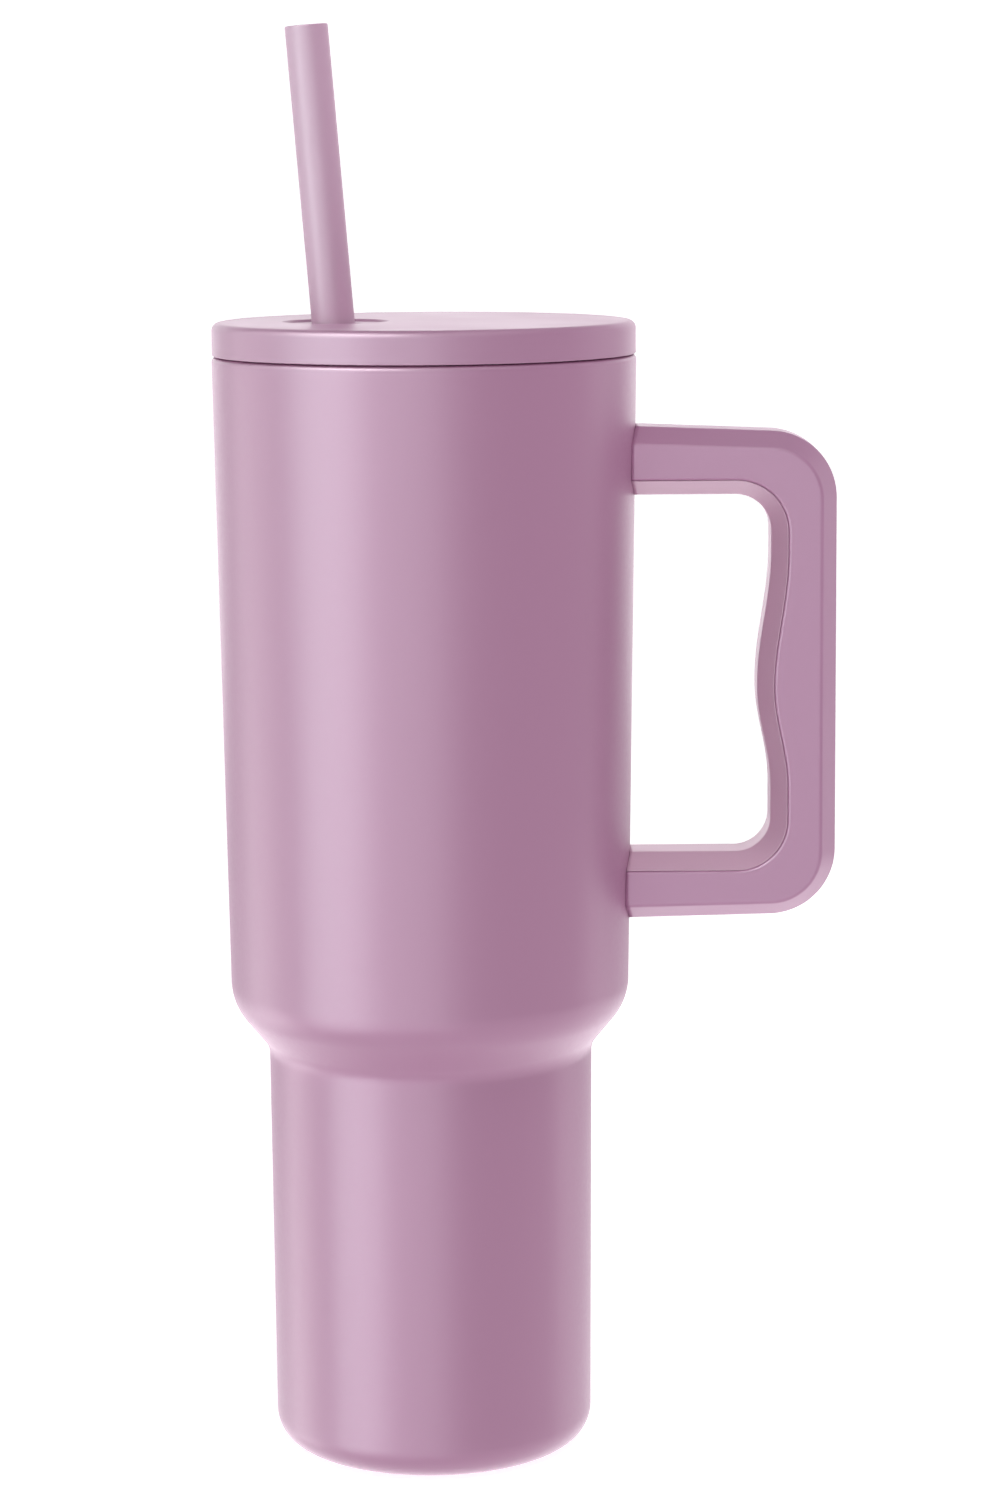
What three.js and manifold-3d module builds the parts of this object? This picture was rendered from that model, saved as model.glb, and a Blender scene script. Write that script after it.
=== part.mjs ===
// Insulated tumbler with a screw-on lid, a drinking straw and a loop handle.
// Millimetres, +Z up. The vessel's axis is Z, its resting plane is z = 0 and the handle points along +X.
import * as THREE from "three";
import { mergeVertices } from "three/addons/utils/BufferGeometryUtils.js";
import Module from "manifold-3d";

const wasm = await Module();
wasm.setup();

// ---- clearances ----
const SEAM_GAP = 0.3; // between two pieces that are welded, glued or clipped together
const RUNNING_GAP = 0.35; // between two pieces that slide or turn on each other

// ---- vessel, outside ----
const BODY_TOP_R = 49.3; // outer radius at the rim
const WALL_TAPER = 2.15; // loss of outer radius from the rim down to the shoulder
const RIM_Z = 260.3; // height of the rim
const SHOULDER_Z = 113.0; // height where the long wall starts to turn in
const SHOULDER_ROUND_R = 13.5; // convex radius above the shoulder's cone
const SHOULDER_ANGLE = 0.686; // slope of the shoulder's cone from the vertical, radians
const WAIST_ROUND_R = 6.5; // concave radius under the shoulder's cone
const WAIST_R = 38.3; // outer radius under the shoulder
const FOOT_TAPER = 0.5; // loss of outer radius from the waist down to the base rounding
const FOOT_ROUND_R = 7.8; // rounding between wall and base
const LIP_ROUND_R = 1.3; // rounding of the rim's outer edge
const SHELL_WALL = 0.6; // sheet thickness of the outer shell
const BASE_RING_W = 0.4; // width of the shell's flat ring between base rounding and base disc

// ---- vessel, inside ----
const LINER_WALL = 0.5; // sheet thickness of the liner
const VACUUM_GAP = 3.0; // space between shell and liner
const LINER_FLOOR_Z = 8.6; // height of the drink side of the floor
const LINER_FLOOR_ROUND_R = 9.0; // rounding between liner wall and floor
const RIM_W = 4.2; // width of the rim between neck and outside
const NECK_DEPTH = 16.0; // height of the cylindrical neck under the rim
const NECK_EASE = 4.0; // height of the cone that leads from the wall to the neck
const LINER_LIP_R = 0.6; // rounding between neck and rim
const LINER_WELD_Z = SHOULDER_Z + 3.0; // height of the girth weld between the liner's wall and its cup

// ---- base ----
const BASE_SHEET = 0.8; // sheet thickness of the base disc
const BASE_BORDER_W = 5.2; // width of the base disc's flat border round its recess
const BASE_RECESS_RISE = 1.1; // height of the recess over the resting plane
const COVER_DISC_T = 0.8; // thickness of the cover disc
const PORT_DIMPLE_R = 5.0; // radius of the dimple round the vacuum port
const PORT_DIMPLE_RISE = 1.7; // extra height of the dimple
const PORT_R = 1.5; // radius of the vacuum port
const SEAL_BEAD_R = 3.2; // radius of the pellet that closes the port
const SEAL_BEAD_T = 1.2; // thickness of that pellet
const SEAL_BEAD_LOW_R = 2.24; // radius of the pellet's lower face
const SEAL_BEAD_TOP_R = 2.56; // radius of its upper face
const GETTER_X = 15.0; // distance of the getter from the axis
const GETTER_R = 4.0; // radius of the getter pill
const GETTER_T = 1.6; // thickness of the getter pill
const GETTER_HOLDER_WALL = 0.5; // sheet thickness of the getter's tray

// ---- radiation foil ----
const FOIL_T = 0.3; // thickness of the wrapped foil
const FOIL_TOP_BELOW_RIM = 20.0; // distance from the rim to the foil's upper edge
const FOIL_BOTTOM_ABOVE_SHOULDER = 4.0; // distance from the shoulder to the foil's lower edge

// ---- thread ----
const THREAD_STARTS = 2; // number of starts
const THREAD_PITCH = 4.0; // distance between neighbouring ridges
const THREAD_FACETS = 30; // length of each ridge, in facets of the wall that carries it
const THREAD_ROOT_W = 1.9; // axial width of a ridge at its root
const THREAD_CREST_W = 1.1; // axial width of a ridge at its crest
const THREAD_H = 1.3; // radial height of a ridge
const THREAD_SINK = 0.25; // depth of a ridge's root inside its wall
const THREAD_LOW_BELOW_RIM = 10.2; // distance from the rim to the lower end of the liner's ridges

// ---- lid ----
const LID_SET_IN = 0.1; // how far the lid's side stands inside the vessel's
const LID_SEAM = 0.5; // shadow gap between lid and rim
const LID_H = 7.3; // height of the lid's side
const LID_EDGE_R = 1.3; // rounding of the lid's upper edge
const LID_WALL = 2.2; // thickness of the lid's skirt
const LID_PLATE = 3.0; // thickness of the lid's top plate
const DISH_R = 12.4; // radius of the dish round the straw
const DISH_DEPTH = 1.1; // depth of that dish
const STRAW_HOLE_X = -20.4; // place of the straw hole on the X axis
const PLUG_DEPTH = 12.0; // length of the plug under the rim
const PLUG_WALL = 2.0; // thickness of the plug's wall and floor
const PLUG_FLANGE_T = 2.0; // thickness of the plug's flange
const WELD_RIB_IN = 0.6; // how far the middle of the welding rib stands inside the neck's radius
const WELD_RIB_W = 2.0; // width of that rib
const GASKET_H = 2.7; // height of the gasket ring
const GASKET_RIB_H = 0.8; // height of the rib that carries the gasket
const GASKET_RIB_W = 1.0; // width of the rib that carries the gasket
const PLUG_PLAY = 2.2; // radial space between the neck and the plug's wall, where ridges and gasket lie

// ---- straw and its bush ----
const STRAW_R = 5.0; // outer radius of the straw
const STRAW_WALL = 0.9; // wall thickness of the straw
const STRAW_LEAN = 4.5; // resting lean of the straw towards -X, degrees
const STRAW_ABOVE_LID = 67.9; // length of the straw over the lid's top, along the straw
const STRAW_FLOOR_GAP = 1.6; // height of the straw's end over the liner's floor
const STRAW_END_ROUND_R = 0.35; // rounding of the straw's ends
const BUSH_WALL = 2.9; // thickness of the bush round the straw
const BUSH_HALF_H = 3.4; // half the height of the bush
const BUSH_LIP_GAP = 1.2; // play between the bush and the lips that hold it
const STRAW_PLAY = 1.4; // radial space between the straw and the lid's hole over the bush
const BUSH_TUBE_WALL = 1.9; // wall of the tube round the bush
const PLUG_BORE_FLARE = 1.5; // extra radius of the plug's bore at its lower end

// ---- handle ----
const HANDLE_REACH = 46.4; // how far the handle stands out from the rim's radius
const GRIP_THICK = 15.3; // thickness of the grip in the plane of the loop
const ARM_H = 15.6; // height of each arm
const UPPER_ARM_Z = 235.5; // middle height of the upper arm
const LOWER_ARM_Z = 135.75; // middle height of the lower arm
const HANDLE_DEPTH = 22.0; // width of the handle across the loop
const FACE_FLAT = 10.0; // width of the flat along the loop's edge
const BEVEL_IN = 3.7; // size of the long bevels in the plane of the loop
const OUTER_CORNER_R = 15.6; // corner radius on the outside of the loop
const UPPER_DRAFT = 0.04; // slope of the upper arm's outer edge, which falls away from the vessel
const LOWER_DRAFT = 0.022; // slope of the lower arm's outer edge, which rises away from the vessel
const INNER_TOP_R = 8.4; // upper corner radius inside the loop
const INNER_BOTTOM_R = 8.2; // lower corner radius inside the loop
const SWELL_H = 3.2; // height of the finger swell
const SWELL_Z = 183.0; // height of the swell's crest
const SWELL_UP = 31.5; // length of the swell over its crest
const SWELL_DOWN = 24.0; // length of the swell under its crest
const HANDLE_WALL = 2.2; // wall thickness of the handle's channel
const CHANNEL_BEVEL_IN = 3.2; // bevel of the channel in the plane of the loop
const CHANNEL_BEVEL_OUT = 5.0; // bevel of the channel across the loop
const TONGUE_H = 1.9; // depth of the grip's tongue in the channel
const TONGUE_T = 1.6; // thickness of the tongue's lips
const TONGUE_WEB = 0.5; // material between the tongue's lips over the grip's back
const CUT_OVER = 1.2; // how many times wider a cutting slab is than what it cuts
const HANDLE_ROOT = 9.3; // length of the arms inside the rim's radius, before they are cut to the wall

// ---- brackets and screws ----
const TAB_REACH = 15.5; // length of a bracket's tab from the vessel's wall
const TAB_T = 2.2; // thickness of a tab
const TAB_W = 12.0; // width of a tab
const FOOT_PLATE_T = 1.5; // thickness of a bracket's foot
const FOOT_PLATE_W = 11.0; // width of a bracket's foot
const FOOT_PLATE_H = 5.0; // height of a bracket's foot
const SCREW_OUT = 9.2; // distance of the screws from the rim's radius
const SCREW_R = 1.6; // shank radius
const SCREW_HEAD_R = 3.1; // head radius
const SCREW_HEAD_H = 2.0; // head height
const SCREW_REACH = 4.4; // depth of the shank in the boss
const HEX_R = 1.3; // radius of the hexagon socket
const HEX_DEPTH = 1.1; // depth of the hexagon socket
const BOSS_R = 4.0; // radius of the screw bosses
const BOSS_DROP = 2.5; // height of a boss under the channel's roof

// ---- fineness ----
const ROUND_SEGMENTS = 48; // facets of the vessel and the lid
const SMALL_SEGMENTS = 24; // facets of small round pieces
const ARC_STEPS = 4; // steps of a rounded profile corner

// ---- derived ----
const INSET = SHELL_WALL + VACUUM_GAP + LINER_WALL;
const SHOULDER_R = BODY_TOP_R - WALL_TAPER;
const FOOT_R = WAIST_R - FOOT_TAPER;
const BASE_OPENING_R = FOOT_R - FOOT_ROUND_R - BASE_RING_W;
const BASE_RECESS_R = BASE_OPENING_R - BASE_BORDER_W;
const NECK_R = BODY_TOP_R - RIM_W;
const RIM_SEAM_R = NECK_R + RIM_W / 2;
const LID_R = BODY_TOP_R - LID_SET_IN;
const WELD_RIB_R = NECK_R - WELD_RIB_IN;
const PLUG_R = NECK_R - PLUG_PLAY;
const BUSH_R = STRAW_R + BUSH_WALL;
const STRAW_LIP_R = STRAW_R + STRAW_PLAY;
const HANDLE_OUT_X = BODY_TOP_R + HANDLE_REACH;
const HANDLE_ROOT_X = BODY_TOP_R - HANDLE_ROOT;
const SCREW_X = BODY_TOP_R + SCREW_OUT;
const LID_BOTTOM_Z = RIM_Z + LID_SEAM;
const LID_TOP_Z = LID_BOTTOM_Z + LID_H;
const PLATE_UNDER_Z = LID_TOP_Z - LID_PLATE;
const BUSH_Z = PLATE_UNDER_Z - BUSH_HALF_H - BUSH_LIP_GAP;
const PLUG_BOTTOM_Z = RIM_Z - PLUG_DEPTH;
const GASKET_R = NECK_R - SEAM_GAP;
const FLANGE_Z = LID_BOTTOM_Z + SEAM_GAP;
const LEAN = THREE.MathUtils.degToRad(STRAW_LEAN);

// ---- helpers ----

// A three.js geometry as a manifold-3d solid.
function solidOf(geometry) {
  const bare = geometry.clone();
  bare.deleteAttribute("normal");
  bare.deleteAttribute("uv");
  const merged = mergeVertices(bare, 1e-4);
  return new wasm.Manifold(
    new wasm.Mesh({
      numProp: 3,
      vertProperties: merged.attributes.position.array,
      triVerts: new Uint32Array(merged.index.array),
    }),
  );
}

// A manifold-3d solid as a three.js geometry.
function geometryOf(solid) {
  const mesh = solid.getMesh();
  const positions = new Float32Array(mesh.numVert * 3);
  for (let i = 0; i < mesh.numVert; i++) {
    const from = i * mesh.numProp;
    positions.set(mesh.vertProperties.subarray(from, from + 3), i * 3);
  }
  const geometry = new THREE.BufferGeometry();
  geometry.setAttribute("position", new THREE.BufferAttribute(positions, 3));
  geometry.setIndex(new THREE.BufferAttribute(new Uint32Array(mesh.triVerts), 1));
  geometry.computeVertexNormals();
  return geometry;
}

// A closed profile of [radius, height] pairs turned round Z.
function turned(profile, segments = ROUND_SEGMENTS) {
  const points = profile.map(([r, z]) => new THREE.Vector2(r, z));
  const area = THREE.ShapeUtils.area(points);
  const ordered = area > 0 ? points : points.slice().reverse();
  const closed = ordered.every(({ x }) => x > 0);
  if (closed) {
    ordered.push(ordered[0].clone());
    return new THREE.LatheGeometry(ordered, segments).rotateX(Math.PI / 2);
  }
  const start = ordered.findIndex(({ x }, i) => {
    const before = ordered[(i + ordered.length - 1) % ordered.length];
    return x === 0 && before.x === 0;
  });
  const open = [...ordered.slice(start), ...ordered.slice(0, start)];
  return new THREE.LatheGeometry(open, segments).rotateX(Math.PI / 2);
}

// Points of an arc from one angle to another, both ends included, as [radius, height] pairs.
function arc(cx, cz, radius, from, to, steps = ARC_STEPS) {
  return Array.from({ length: steps + 1 }, (_, i) => {
    const angle = from + ((to - from) * i) / steps;
    return [cx + radius * Math.cos(angle), cz + radius * Math.sin(angle)];
  });
}

// An upright cylinder between two heights as a solid.
function post(x, radius, low, high, segments = SMALL_SEGMENTS) {
  const cylinder = new THREE.CylinderGeometry(radius, radius, high - low, segments);
  return solidOf(cylinder.rotateX(Math.PI / 2).translate(x, 0, (low + high) / 2));
}

// A box between two corners as a solid.
function block(low, high) {
  const size = high.map((value, i) => value - low[i]);
  const middle = high.map((value, i) => (value + low[i]) / 2);
  return solidOf(new THREE.BoxGeometry(...size).translate(...middle));
}

// A closed outline in the XZ plane, extruded evenly to both sides of y = 0, with optional bevels.
function slab(outline, depth, bevelIn = 0, bevelOut = 0) {
  const shape = new THREE.Shape(outline);
  const geometry = new THREE.ExtrudeGeometry(shape, {
    depth: depth - 2 * bevelOut,
    bevelEnabled: bevelIn > 0,
    bevelThickness: bevelOut,
    bevelSize: bevelIn,
    bevelOffset: -bevelIn,
    bevelSegments: 1,
    steps: 1,
  });
  geometry.translate(0, 0, bevelOut - depth / 2);
  return solidOf(geometry.rotateX(Math.PI / 2));
}

// A named mesh with its own finish.
function piece(name, geometry, [color, roughness, metalness]) {
  const material = new THREE.MeshStandardMaterial({ color, roughness, metalness });
  const mesh = new THREE.Mesh(geometry, material);
  mesh.name = name;
  return mesh;
}

const FINISH = {
  coat: ["#b587a6", 0.55, 0.0],
  steel: ["#b9bbbd", 0.3, 1.0],
  copper: ["#b87350", 0.25, 1.0],
  lid: ["#b98cab", 0.5, 0.0],
  seal: ["#e9e3e6", 0.7, 0.0],
  straw: ["#bb90ae", 0.4, 0.0],
  grip: ["#b384a4", 0.6, 0.0],
  glass: ["#6f7a70", 0.2, 0.0],
  getter: ["#5c5c60", 0.8, 0.3],
};

// ---- vessel ----

// The vessel's outside from just under the rim to the base, moved inwards by an amount.
function wallProfile(inset) {
  const round = SHOULDER_ROUND_R - inset;
  const waist = WAIST_ROUND_R + inset;
  const a = SHOULDER_ANGLE;
  const bendX = SHOULDER_R - SHOULDER_ROUND_R;
  const coneStartR = bendX + SHOULDER_ROUND_R * Math.cos(a);
  const coneStartZ = SHOULDER_Z - SHOULDER_ROUND_R * Math.sin(a);
  const waistX = WAIST_R + WAIST_ROUND_R;
  const coneEndR = waistX - WAIST_ROUND_R * Math.cos(a);
  const coneEndZ = coneStartZ - (coneStartR - coneEndR) / Math.tan(a);
  const waistZ = coneEndZ - WAIST_ROUND_R * Math.sin(a);
  return {
    top: [BODY_TOP_R - inset, RIM_Z],
    shoulder: arc(bendX, SHOULDER_Z, round, 0, -a),
    waist: arc(waistX, waistZ, waist, Math.PI - a, Math.PI),
    foot: FOOT_R - inset,
  };
}

// The wall's outer radius at a height over the shoulder, moved inwards by an amount.
function wallRadius(z, inset) {
  const share = (z - SHOULDER_Z) / (RIM_Z - SHOULDER_Z);
  return SHOULDER_R + (BODY_TOP_R - SHOULDER_R) * share - inset;
}

function outerShell() {
  const out = wallProfile(0);
  const inner = wallProfile(SHELL_WALL);
  const lipX = BODY_TOP_R - LIP_ROUND_R;
  const lipZ = RIM_Z - LIP_ROUND_R;
  const footX = FOOT_R - FOOT_ROUND_R;
  const profile = [
    [RIM_SEAM_R + SEAM_GAP / 2, RIM_Z],
    ...arc(lipX, lipZ, LIP_ROUND_R, Math.PI / 2, 0, 4),
    ...out.shoulder,
    ...out.waist,
    ...arc(footX, FOOT_ROUND_R, FOOT_ROUND_R, 0, -Math.PI / 2),
    [BASE_OPENING_R, 0],
    [BASE_OPENING_R, SHELL_WALL],
    ...arc(footX, FOOT_ROUND_R, FOOT_ROUND_R - SHELL_WALL, -Math.PI / 2, 0),
    ...inner.waist.reverse(),
    ...inner.shoulder.reverse(),
    ...arc(lipX, lipZ, LIP_ROUND_R - SHELL_WALL, 0, Math.PI / 2, 3),
    [RIM_SEAM_R + SEAM_GAP / 2, RIM_Z - SHELL_WALL],
  ];
  return piece("outer_shell", turned(profile), FINISH.coat);
}

// One helical ridge: a straight bar bent round Z, with its foot on a wall and its crest facing out or in.
// The bar's far end becomes the ridge's low end, which keeps the bent faces outward.
function ridge(wallR, outward, lowZ, startAngle) {
  const reach = outward ? THREAD_H : -THREAD_H;
  const sink = outward ? -THREAD_SINK : THREAD_SINK;
  const section = new THREE.Shape([
    new THREE.Vector2(wallR + sink, -THREAD_ROOT_W / 2),
    new THREE.Vector2(wallR + reach, -THREAD_CREST_W / 2),
    new THREE.Vector2(wallR + reach, THREAD_CREST_W / 2),
    new THREE.Vector2(wallR + sink, THREAD_ROOT_W / 2),
  ]);
  const facet = (2 * Math.PI) / ROUND_SEGMENTS;
  const turn = THREAD_FACETS * facet;
  const bar = new THREE.ExtrudeGeometry(section, {
    depth: turn,
    steps: THREAD_FACETS,
    bevelEnabled: false,
  });
  const lead = THREAD_PITCH * THREAD_STARTS;
  const position = bar.attributes.position;
  for (let i = 0; i < position.count; i++) {
    const radius = position.getX(i);
    const angle = turn - position.getZ(i);
    const z = lowZ + position.getY(i) + (lead * angle) / (2 * Math.PI);
    const at = startAngle + facet / 2 + angle;
    position.setXYZ(i, radius * Math.cos(at), radius * Math.sin(at), z);
  }
  return solidOf(bar);
}

// A wall with its ridges: the starts stand evenly round the axis.
function threaded(solid, wallR, outward, lowZ, phase) {
  let result = solid;
  for (let start = 0; start < THREAD_STARTS; start++) {
    const angle = phase + (2 * Math.PI * start) / THREAD_STARTS;
    result = result.add(ridge(wallR, outward, lowZ, angle));
  }
  return result;
}

// The liner's upper wall with its threaded neck and the inner half of the rim.
function innerLiner() {
  const neckZ = RIM_Z - NECK_DEPTH;
  const easeZ = neckZ - NECK_EASE;
  const weldZ = LINER_WELD_Z + SEAM_GAP / 2;
  const seamR = RIM_SEAM_R - SEAM_GAP / 2;
  const outInset = INSET - LINER_WALL;
  const lip = arc(NECK_R + LINER_LIP_R, RIM_Z - LINER_LIP_R, LINER_LIP_R, Math.PI, Math.PI / 2, 3);
  const profile = [
    [wallRadius(weldZ, INSET), weldZ],
    [wallRadius(easeZ, INSET), easeZ],
    [NECK_R, neckZ],
    ...lip,
    [seamR, RIM_Z],
    [seamR, RIM_Z - LINER_WALL],
    [NECK_R + LINER_WALL, RIM_Z - LINER_WALL],
    [NECK_R + LINER_WALL, neckZ],
    [wallRadius(easeZ, outInset), easeZ],
    [wallRadius(weldZ, outInset), weldZ],
  ];
  const wall = solidOf(turned(profile));
  const lowZ = RIM_Z - THREAD_LOW_BELOW_RIM;
  const solid = threaded(wall, NECK_R, false, lowZ, 0);
  return piece("inner_liner", geometryOf(solid), FINISH.steel);
}

// The liner's drawn lower part: shoulder, narrow wall and floor.
function linerCup() {
  const inner = wallProfile(INSET);
  const outer = wallProfile(INSET - LINER_WALL);
  const cornerX = FOOT_R - INSET - LINER_FLOOR_ROUND_R;
  const cornerZ = LINER_FLOOR_Z + LINER_FLOOR_ROUND_R;
  const outerCorner = LINER_FLOOR_ROUND_R + LINER_WALL;
  const weldZ = LINER_WELD_Z - SEAM_GAP / 2;
  const profile = [
    [0, LINER_FLOOR_Z],
    ...arc(cornerX, cornerZ, LINER_FLOOR_ROUND_R, -Math.PI / 2, 0),
    ...inner.waist.reverse(),
    ...inner.shoulder.reverse(),
    [wallRadius(weldZ, INSET), weldZ],
    [wallRadius(weldZ, INSET - LINER_WALL), weldZ],
    ...outer.shoulder,
    ...outer.waist,
    ...arc(cornerX, cornerZ, outerCorner, 0, -Math.PI / 2),
    [0, LINER_FLOOR_Z - LINER_WALL],
  ];
  return piece("liner_cup", turned(profile), FINISH.steel);
}

function radiationFoil() {
  const low = SHOULDER_Z + FOIL_BOTTOM_ABOVE_SHOULDER;
  const high = RIM_Z - FOIL_TOP_BELOW_RIM;
  const inset = INSET - LINER_WALL - VACUUM_GAP / 2;
  const profile = [
    [wallRadius(low, inset), low],
    [wallRadius(high, inset), high],
    [wallRadius(high, inset) - FOIL_T, high],
    [wallRadius(low, inset) - FOIL_T, low],
  ];
  return piece("radiation_foil", turned(profile), FINISH.copper);
}

function outerBase() {
  const rise = BASE_RECESS_RISE;
  const dimple = rise + PORT_DIMPLE_RISE;
  const edge = BASE_OPENING_R - SEAM_GAP;
  const profile = [
    [PORT_R, dimple],
    [PORT_DIMPLE_R - BASE_SHEET, dimple],
    [PORT_DIMPLE_R, rise],
    [BASE_RECESS_R, rise],
    [BASE_RECESS_R, 0],
    [edge, 0],
    [edge, BASE_SHEET],
    [BASE_RECESS_R + BASE_SHEET, BASE_SHEET],
    [BASE_RECESS_R + BASE_SHEET, rise + BASE_SHEET],
    [PORT_DIMPLE_R + BASE_SHEET, rise + BASE_SHEET],
    [PORT_DIMPLE_R, dimple + BASE_SHEET],
    [PORT_R, dimple + BASE_SHEET],
  ];
  return piece("outer_base", turned(profile), FINISH.steel);
}

function baseCover() {
  const radius = BASE_RECESS_R - SEAM_GAP;
  const profile = [
    [0, 0],
    [radius, 0],
    [radius, COVER_DISC_T],
    [0, COVER_DISC_T],
  ];
  return piece("base_cover", turned(profile), FINISH.steel);
}

function sealBead() {
  const top = BASE_RECESS_RISE + PORT_DIMPLE_RISE - SEAM_GAP;
  const low = top - SEAL_BEAD_T;
  const profile = [
    [0, low],
    [SEAL_BEAD_LOW_R, low],
    [SEAL_BEAD_R, low + SEAL_BEAD_T / 2],
    [SEAL_BEAD_TOP_R, top],
    [0, top],
  ];
  return piece("seal_bead", turned(profile, SMALL_SEGMENTS), FINISH.glass);
}

function getterHolder() {
  const z = BASE_RECESS_RISE + BASE_SHEET + SEAM_GAP;
  const inner = GETTER_R + SEAM_GAP;
  const outer = inner + GETTER_HOLDER_WALL;
  const profile = [
    [0, z],
    [outer, z],
    [outer, z + GETTER_T],
    [inner, z + GETTER_T],
    [inner, z + GETTER_HOLDER_WALL],
    [0, z + GETTER_HOLDER_WALL],
  ];
  const mesh = piece("getter_holder", turned(profile, SMALL_SEGMENTS), FINISH.steel);
  mesh.position.x = GETTER_X;
  return mesh;
}

function getterPill() {
  const z = BASE_RECESS_RISE + BASE_SHEET + GETTER_HOLDER_WALL + 2 * SEAM_GAP;
  const profile = [
    [0, z],
    [GETTER_R, z],
    [GETTER_R, z + GETTER_T],
    [0, z + GETTER_T],
  ];
  const mesh = piece("getter_pill", turned(profile, SMALL_SEGMENTS), FINISH.getter);
  mesh.position.x = GETTER_X;
  return mesh;
}

// ---- handle ----

// The finger swell's height at a height z: two half cosines that meet at the crest.
function swell(z) {
  const length = z > SWELL_Z ? SWELL_UP : SWELL_DOWN;
  const share = Math.min(1, Math.abs(z - SWELL_Z) / length);
  return (SWELL_H * (1 + Math.cos(Math.PI * share))) / 2;
}

// The loop's inner edge from the vessel along the lower arm, up the grip and back along the upper arm,
// moved into the handle's material by an amount.
function innerEdge(offset) {
  const gripX = HANDLE_OUT_X - GRIP_THICK;
  const lowZ = LOWER_ARM_Z + ARM_H / 2;
  const highZ = UPPER_ARM_Z - ARM_H / 2;
  const lowCorner = arc(
    gripX - INNER_BOTTOM_R,
    lowZ + INNER_BOTTOM_R,
    INNER_BOTTOM_R + offset,
    -Math.PI / 2,
    0,
  );
  const highCorner = arc(
    gripX - INNER_TOP_R,
    highZ - INNER_TOP_R,
    INNER_TOP_R + offset,
    0,
    Math.PI / 2,
  );
  const from = lowZ + INNER_BOTTOM_R;
  const to = highZ - INNER_TOP_R;
  const steps = 26;
  const grip = Array.from({ length: steps - 1 }, (_, i) => {
    const z = from + ((to - from) * (i + 1)) / steps;
    const slope = (swell(z + 0.01) - swell(z - 0.01)) / 0.02;
    const length = Math.hypot(1, slope);
    return [gripX - swell(z) + offset / length, z + (offset * slope) / length];
  });
  return [
    [HANDLE_ROOT_X, lowZ - offset],
    ...lowCorner,
    ...grip,
    ...highCorner,
    [HANDLE_ROOT_X, highZ + offset],
  ].map(([x, z]) => new THREE.Vector2(x, z));
}

// The loop's outer edge from the upper arm round to the lower arm, moved into the material by an amount.
// Both arms taper a little, and their height is ARM_H at the screws.
function outerEdge(offset) {
  const x = HANDLE_OUT_X - OUTER_CORNER_R;
  const radius = OUTER_CORNER_R - offset;
  const highZ = UPPER_ARM_Z + ARM_H / 2 - UPPER_DRAFT * (x - SCREW_X);
  const lowZ = LOWER_ARM_Z - ARM_H / 2 + LOWER_DRAFT * (x - SCREW_X);
  const fall = Math.atan(UPPER_DRAFT);
  const rise = Math.atan(LOWER_DRAFT);
  const toRoot = x - HANDLE_ROOT_X;
  return [
    [HANDLE_ROOT_X, highZ + UPPER_DRAFT * toRoot - offset / Math.cos(fall)],
    ...arc(x, highZ - OUTER_CORNER_R / Math.cos(fall), radius, Math.PI / 2 - fall, 0, 9),
    ...arc(x, lowZ + OUTER_CORNER_R / Math.cos(rise), radius, 0, rise - Math.PI / 2, 9),
    [HANDLE_ROOT_X, lowZ - LOWER_DRAFT * toRoot + offset / Math.cos(rise)],
  ].map(([u, v]) => new THREE.Vector2(u, v));
}

// The handle's full bevelled loop before it is split.
function handleLoop() {
  const bevelOut = (HANDLE_DEPTH - FACE_FLAT) / 2;
  return slab([...outerEdge(0), ...innerEdge(0)], HANDLE_DEPTH, BEVEL_IN, bevelOut);
}

// Everything inside the loop's inner edge after that edge is moved into the material by an amount.
function insideLoop(offset, depth) {
  return slab(innerEdge(offset).reverse(), depth);
}

// The vessel's outside grown by a clearance, as a solid to cut with.
function vesselCutter(clearance) {
  const top = UPPER_ARM_Z + ARM_H;
  const low = SHOULDER_Z;
  const profile = [
    [0, low],
    [wallRadius(low, -clearance), low],
    [wallRadius(top, -clearance), top],
    [0, top],
  ];
  return solidOf(turned(profile, 2 * ROUND_SEGMENTS));
}

// Side of an arm that faces away from the opening: +1 on the upper arm and -1 on the lower one.
const ARMS = [
  { name: "upper", z: UPPER_ARM_Z, side: 1 },
  { name: "lower", z: LOWER_ARM_Z, side: -1 },
];

// Height of the channel's roof in an arm.
function roofZ({ z, side }) {
  return z + side * (ARM_H / 2 - HANDLE_WALL);
}

// Height of the face of a tab that lies against the boss.
function tabZ(arm) {
  return roofZ(arm) - arm.side * (BOSS_DROP + SEAM_GAP);
}

// A post between two heights given in either order.
function postBetween(x, radius, a, b, segments) {
  return post(x, radius, Math.min(a, b), Math.max(a, b), segments);
}

function handleFrame() {
  const channelDepth = HANDLE_DEPTH - 2 * HANDLE_WALL;
  const opening = insideLoop(BEVEL_IN + SEAM_GAP / 2, HANDLE_DEPTH * CUT_OVER);
  const channel = slab(
    outerEdge(HANDLE_WALL),
    channelDepth,
    CHANNEL_BEVEL_IN,
    CHANNEL_BEVEL_OUT,
  );
  let solid = handleLoop().subtract(opening).subtract(channel);
  for (const arm of ARMS) {
    const roof = roofZ(arm);
    const low = roof - arm.side * BOSS_DROP;
    solid = solid.add(postBetween(SCREW_X, BOSS_R, low, roof + arm.side * HANDLE_WALL * 0.5));
    const bottom = low + arm.side * (SCREW_REACH - SEAM_GAP);
    const hole = SCREW_R + SEAM_GAP;
    solid = solid.subtract(postBetween(SCREW_X, hole, low - arm.side, bottom));
  }
  solid = solid.subtract(vesselCutter(SEAM_GAP));
  return piece("handle_frame", geometryOf(solid), FINISH.coat);
}

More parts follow.
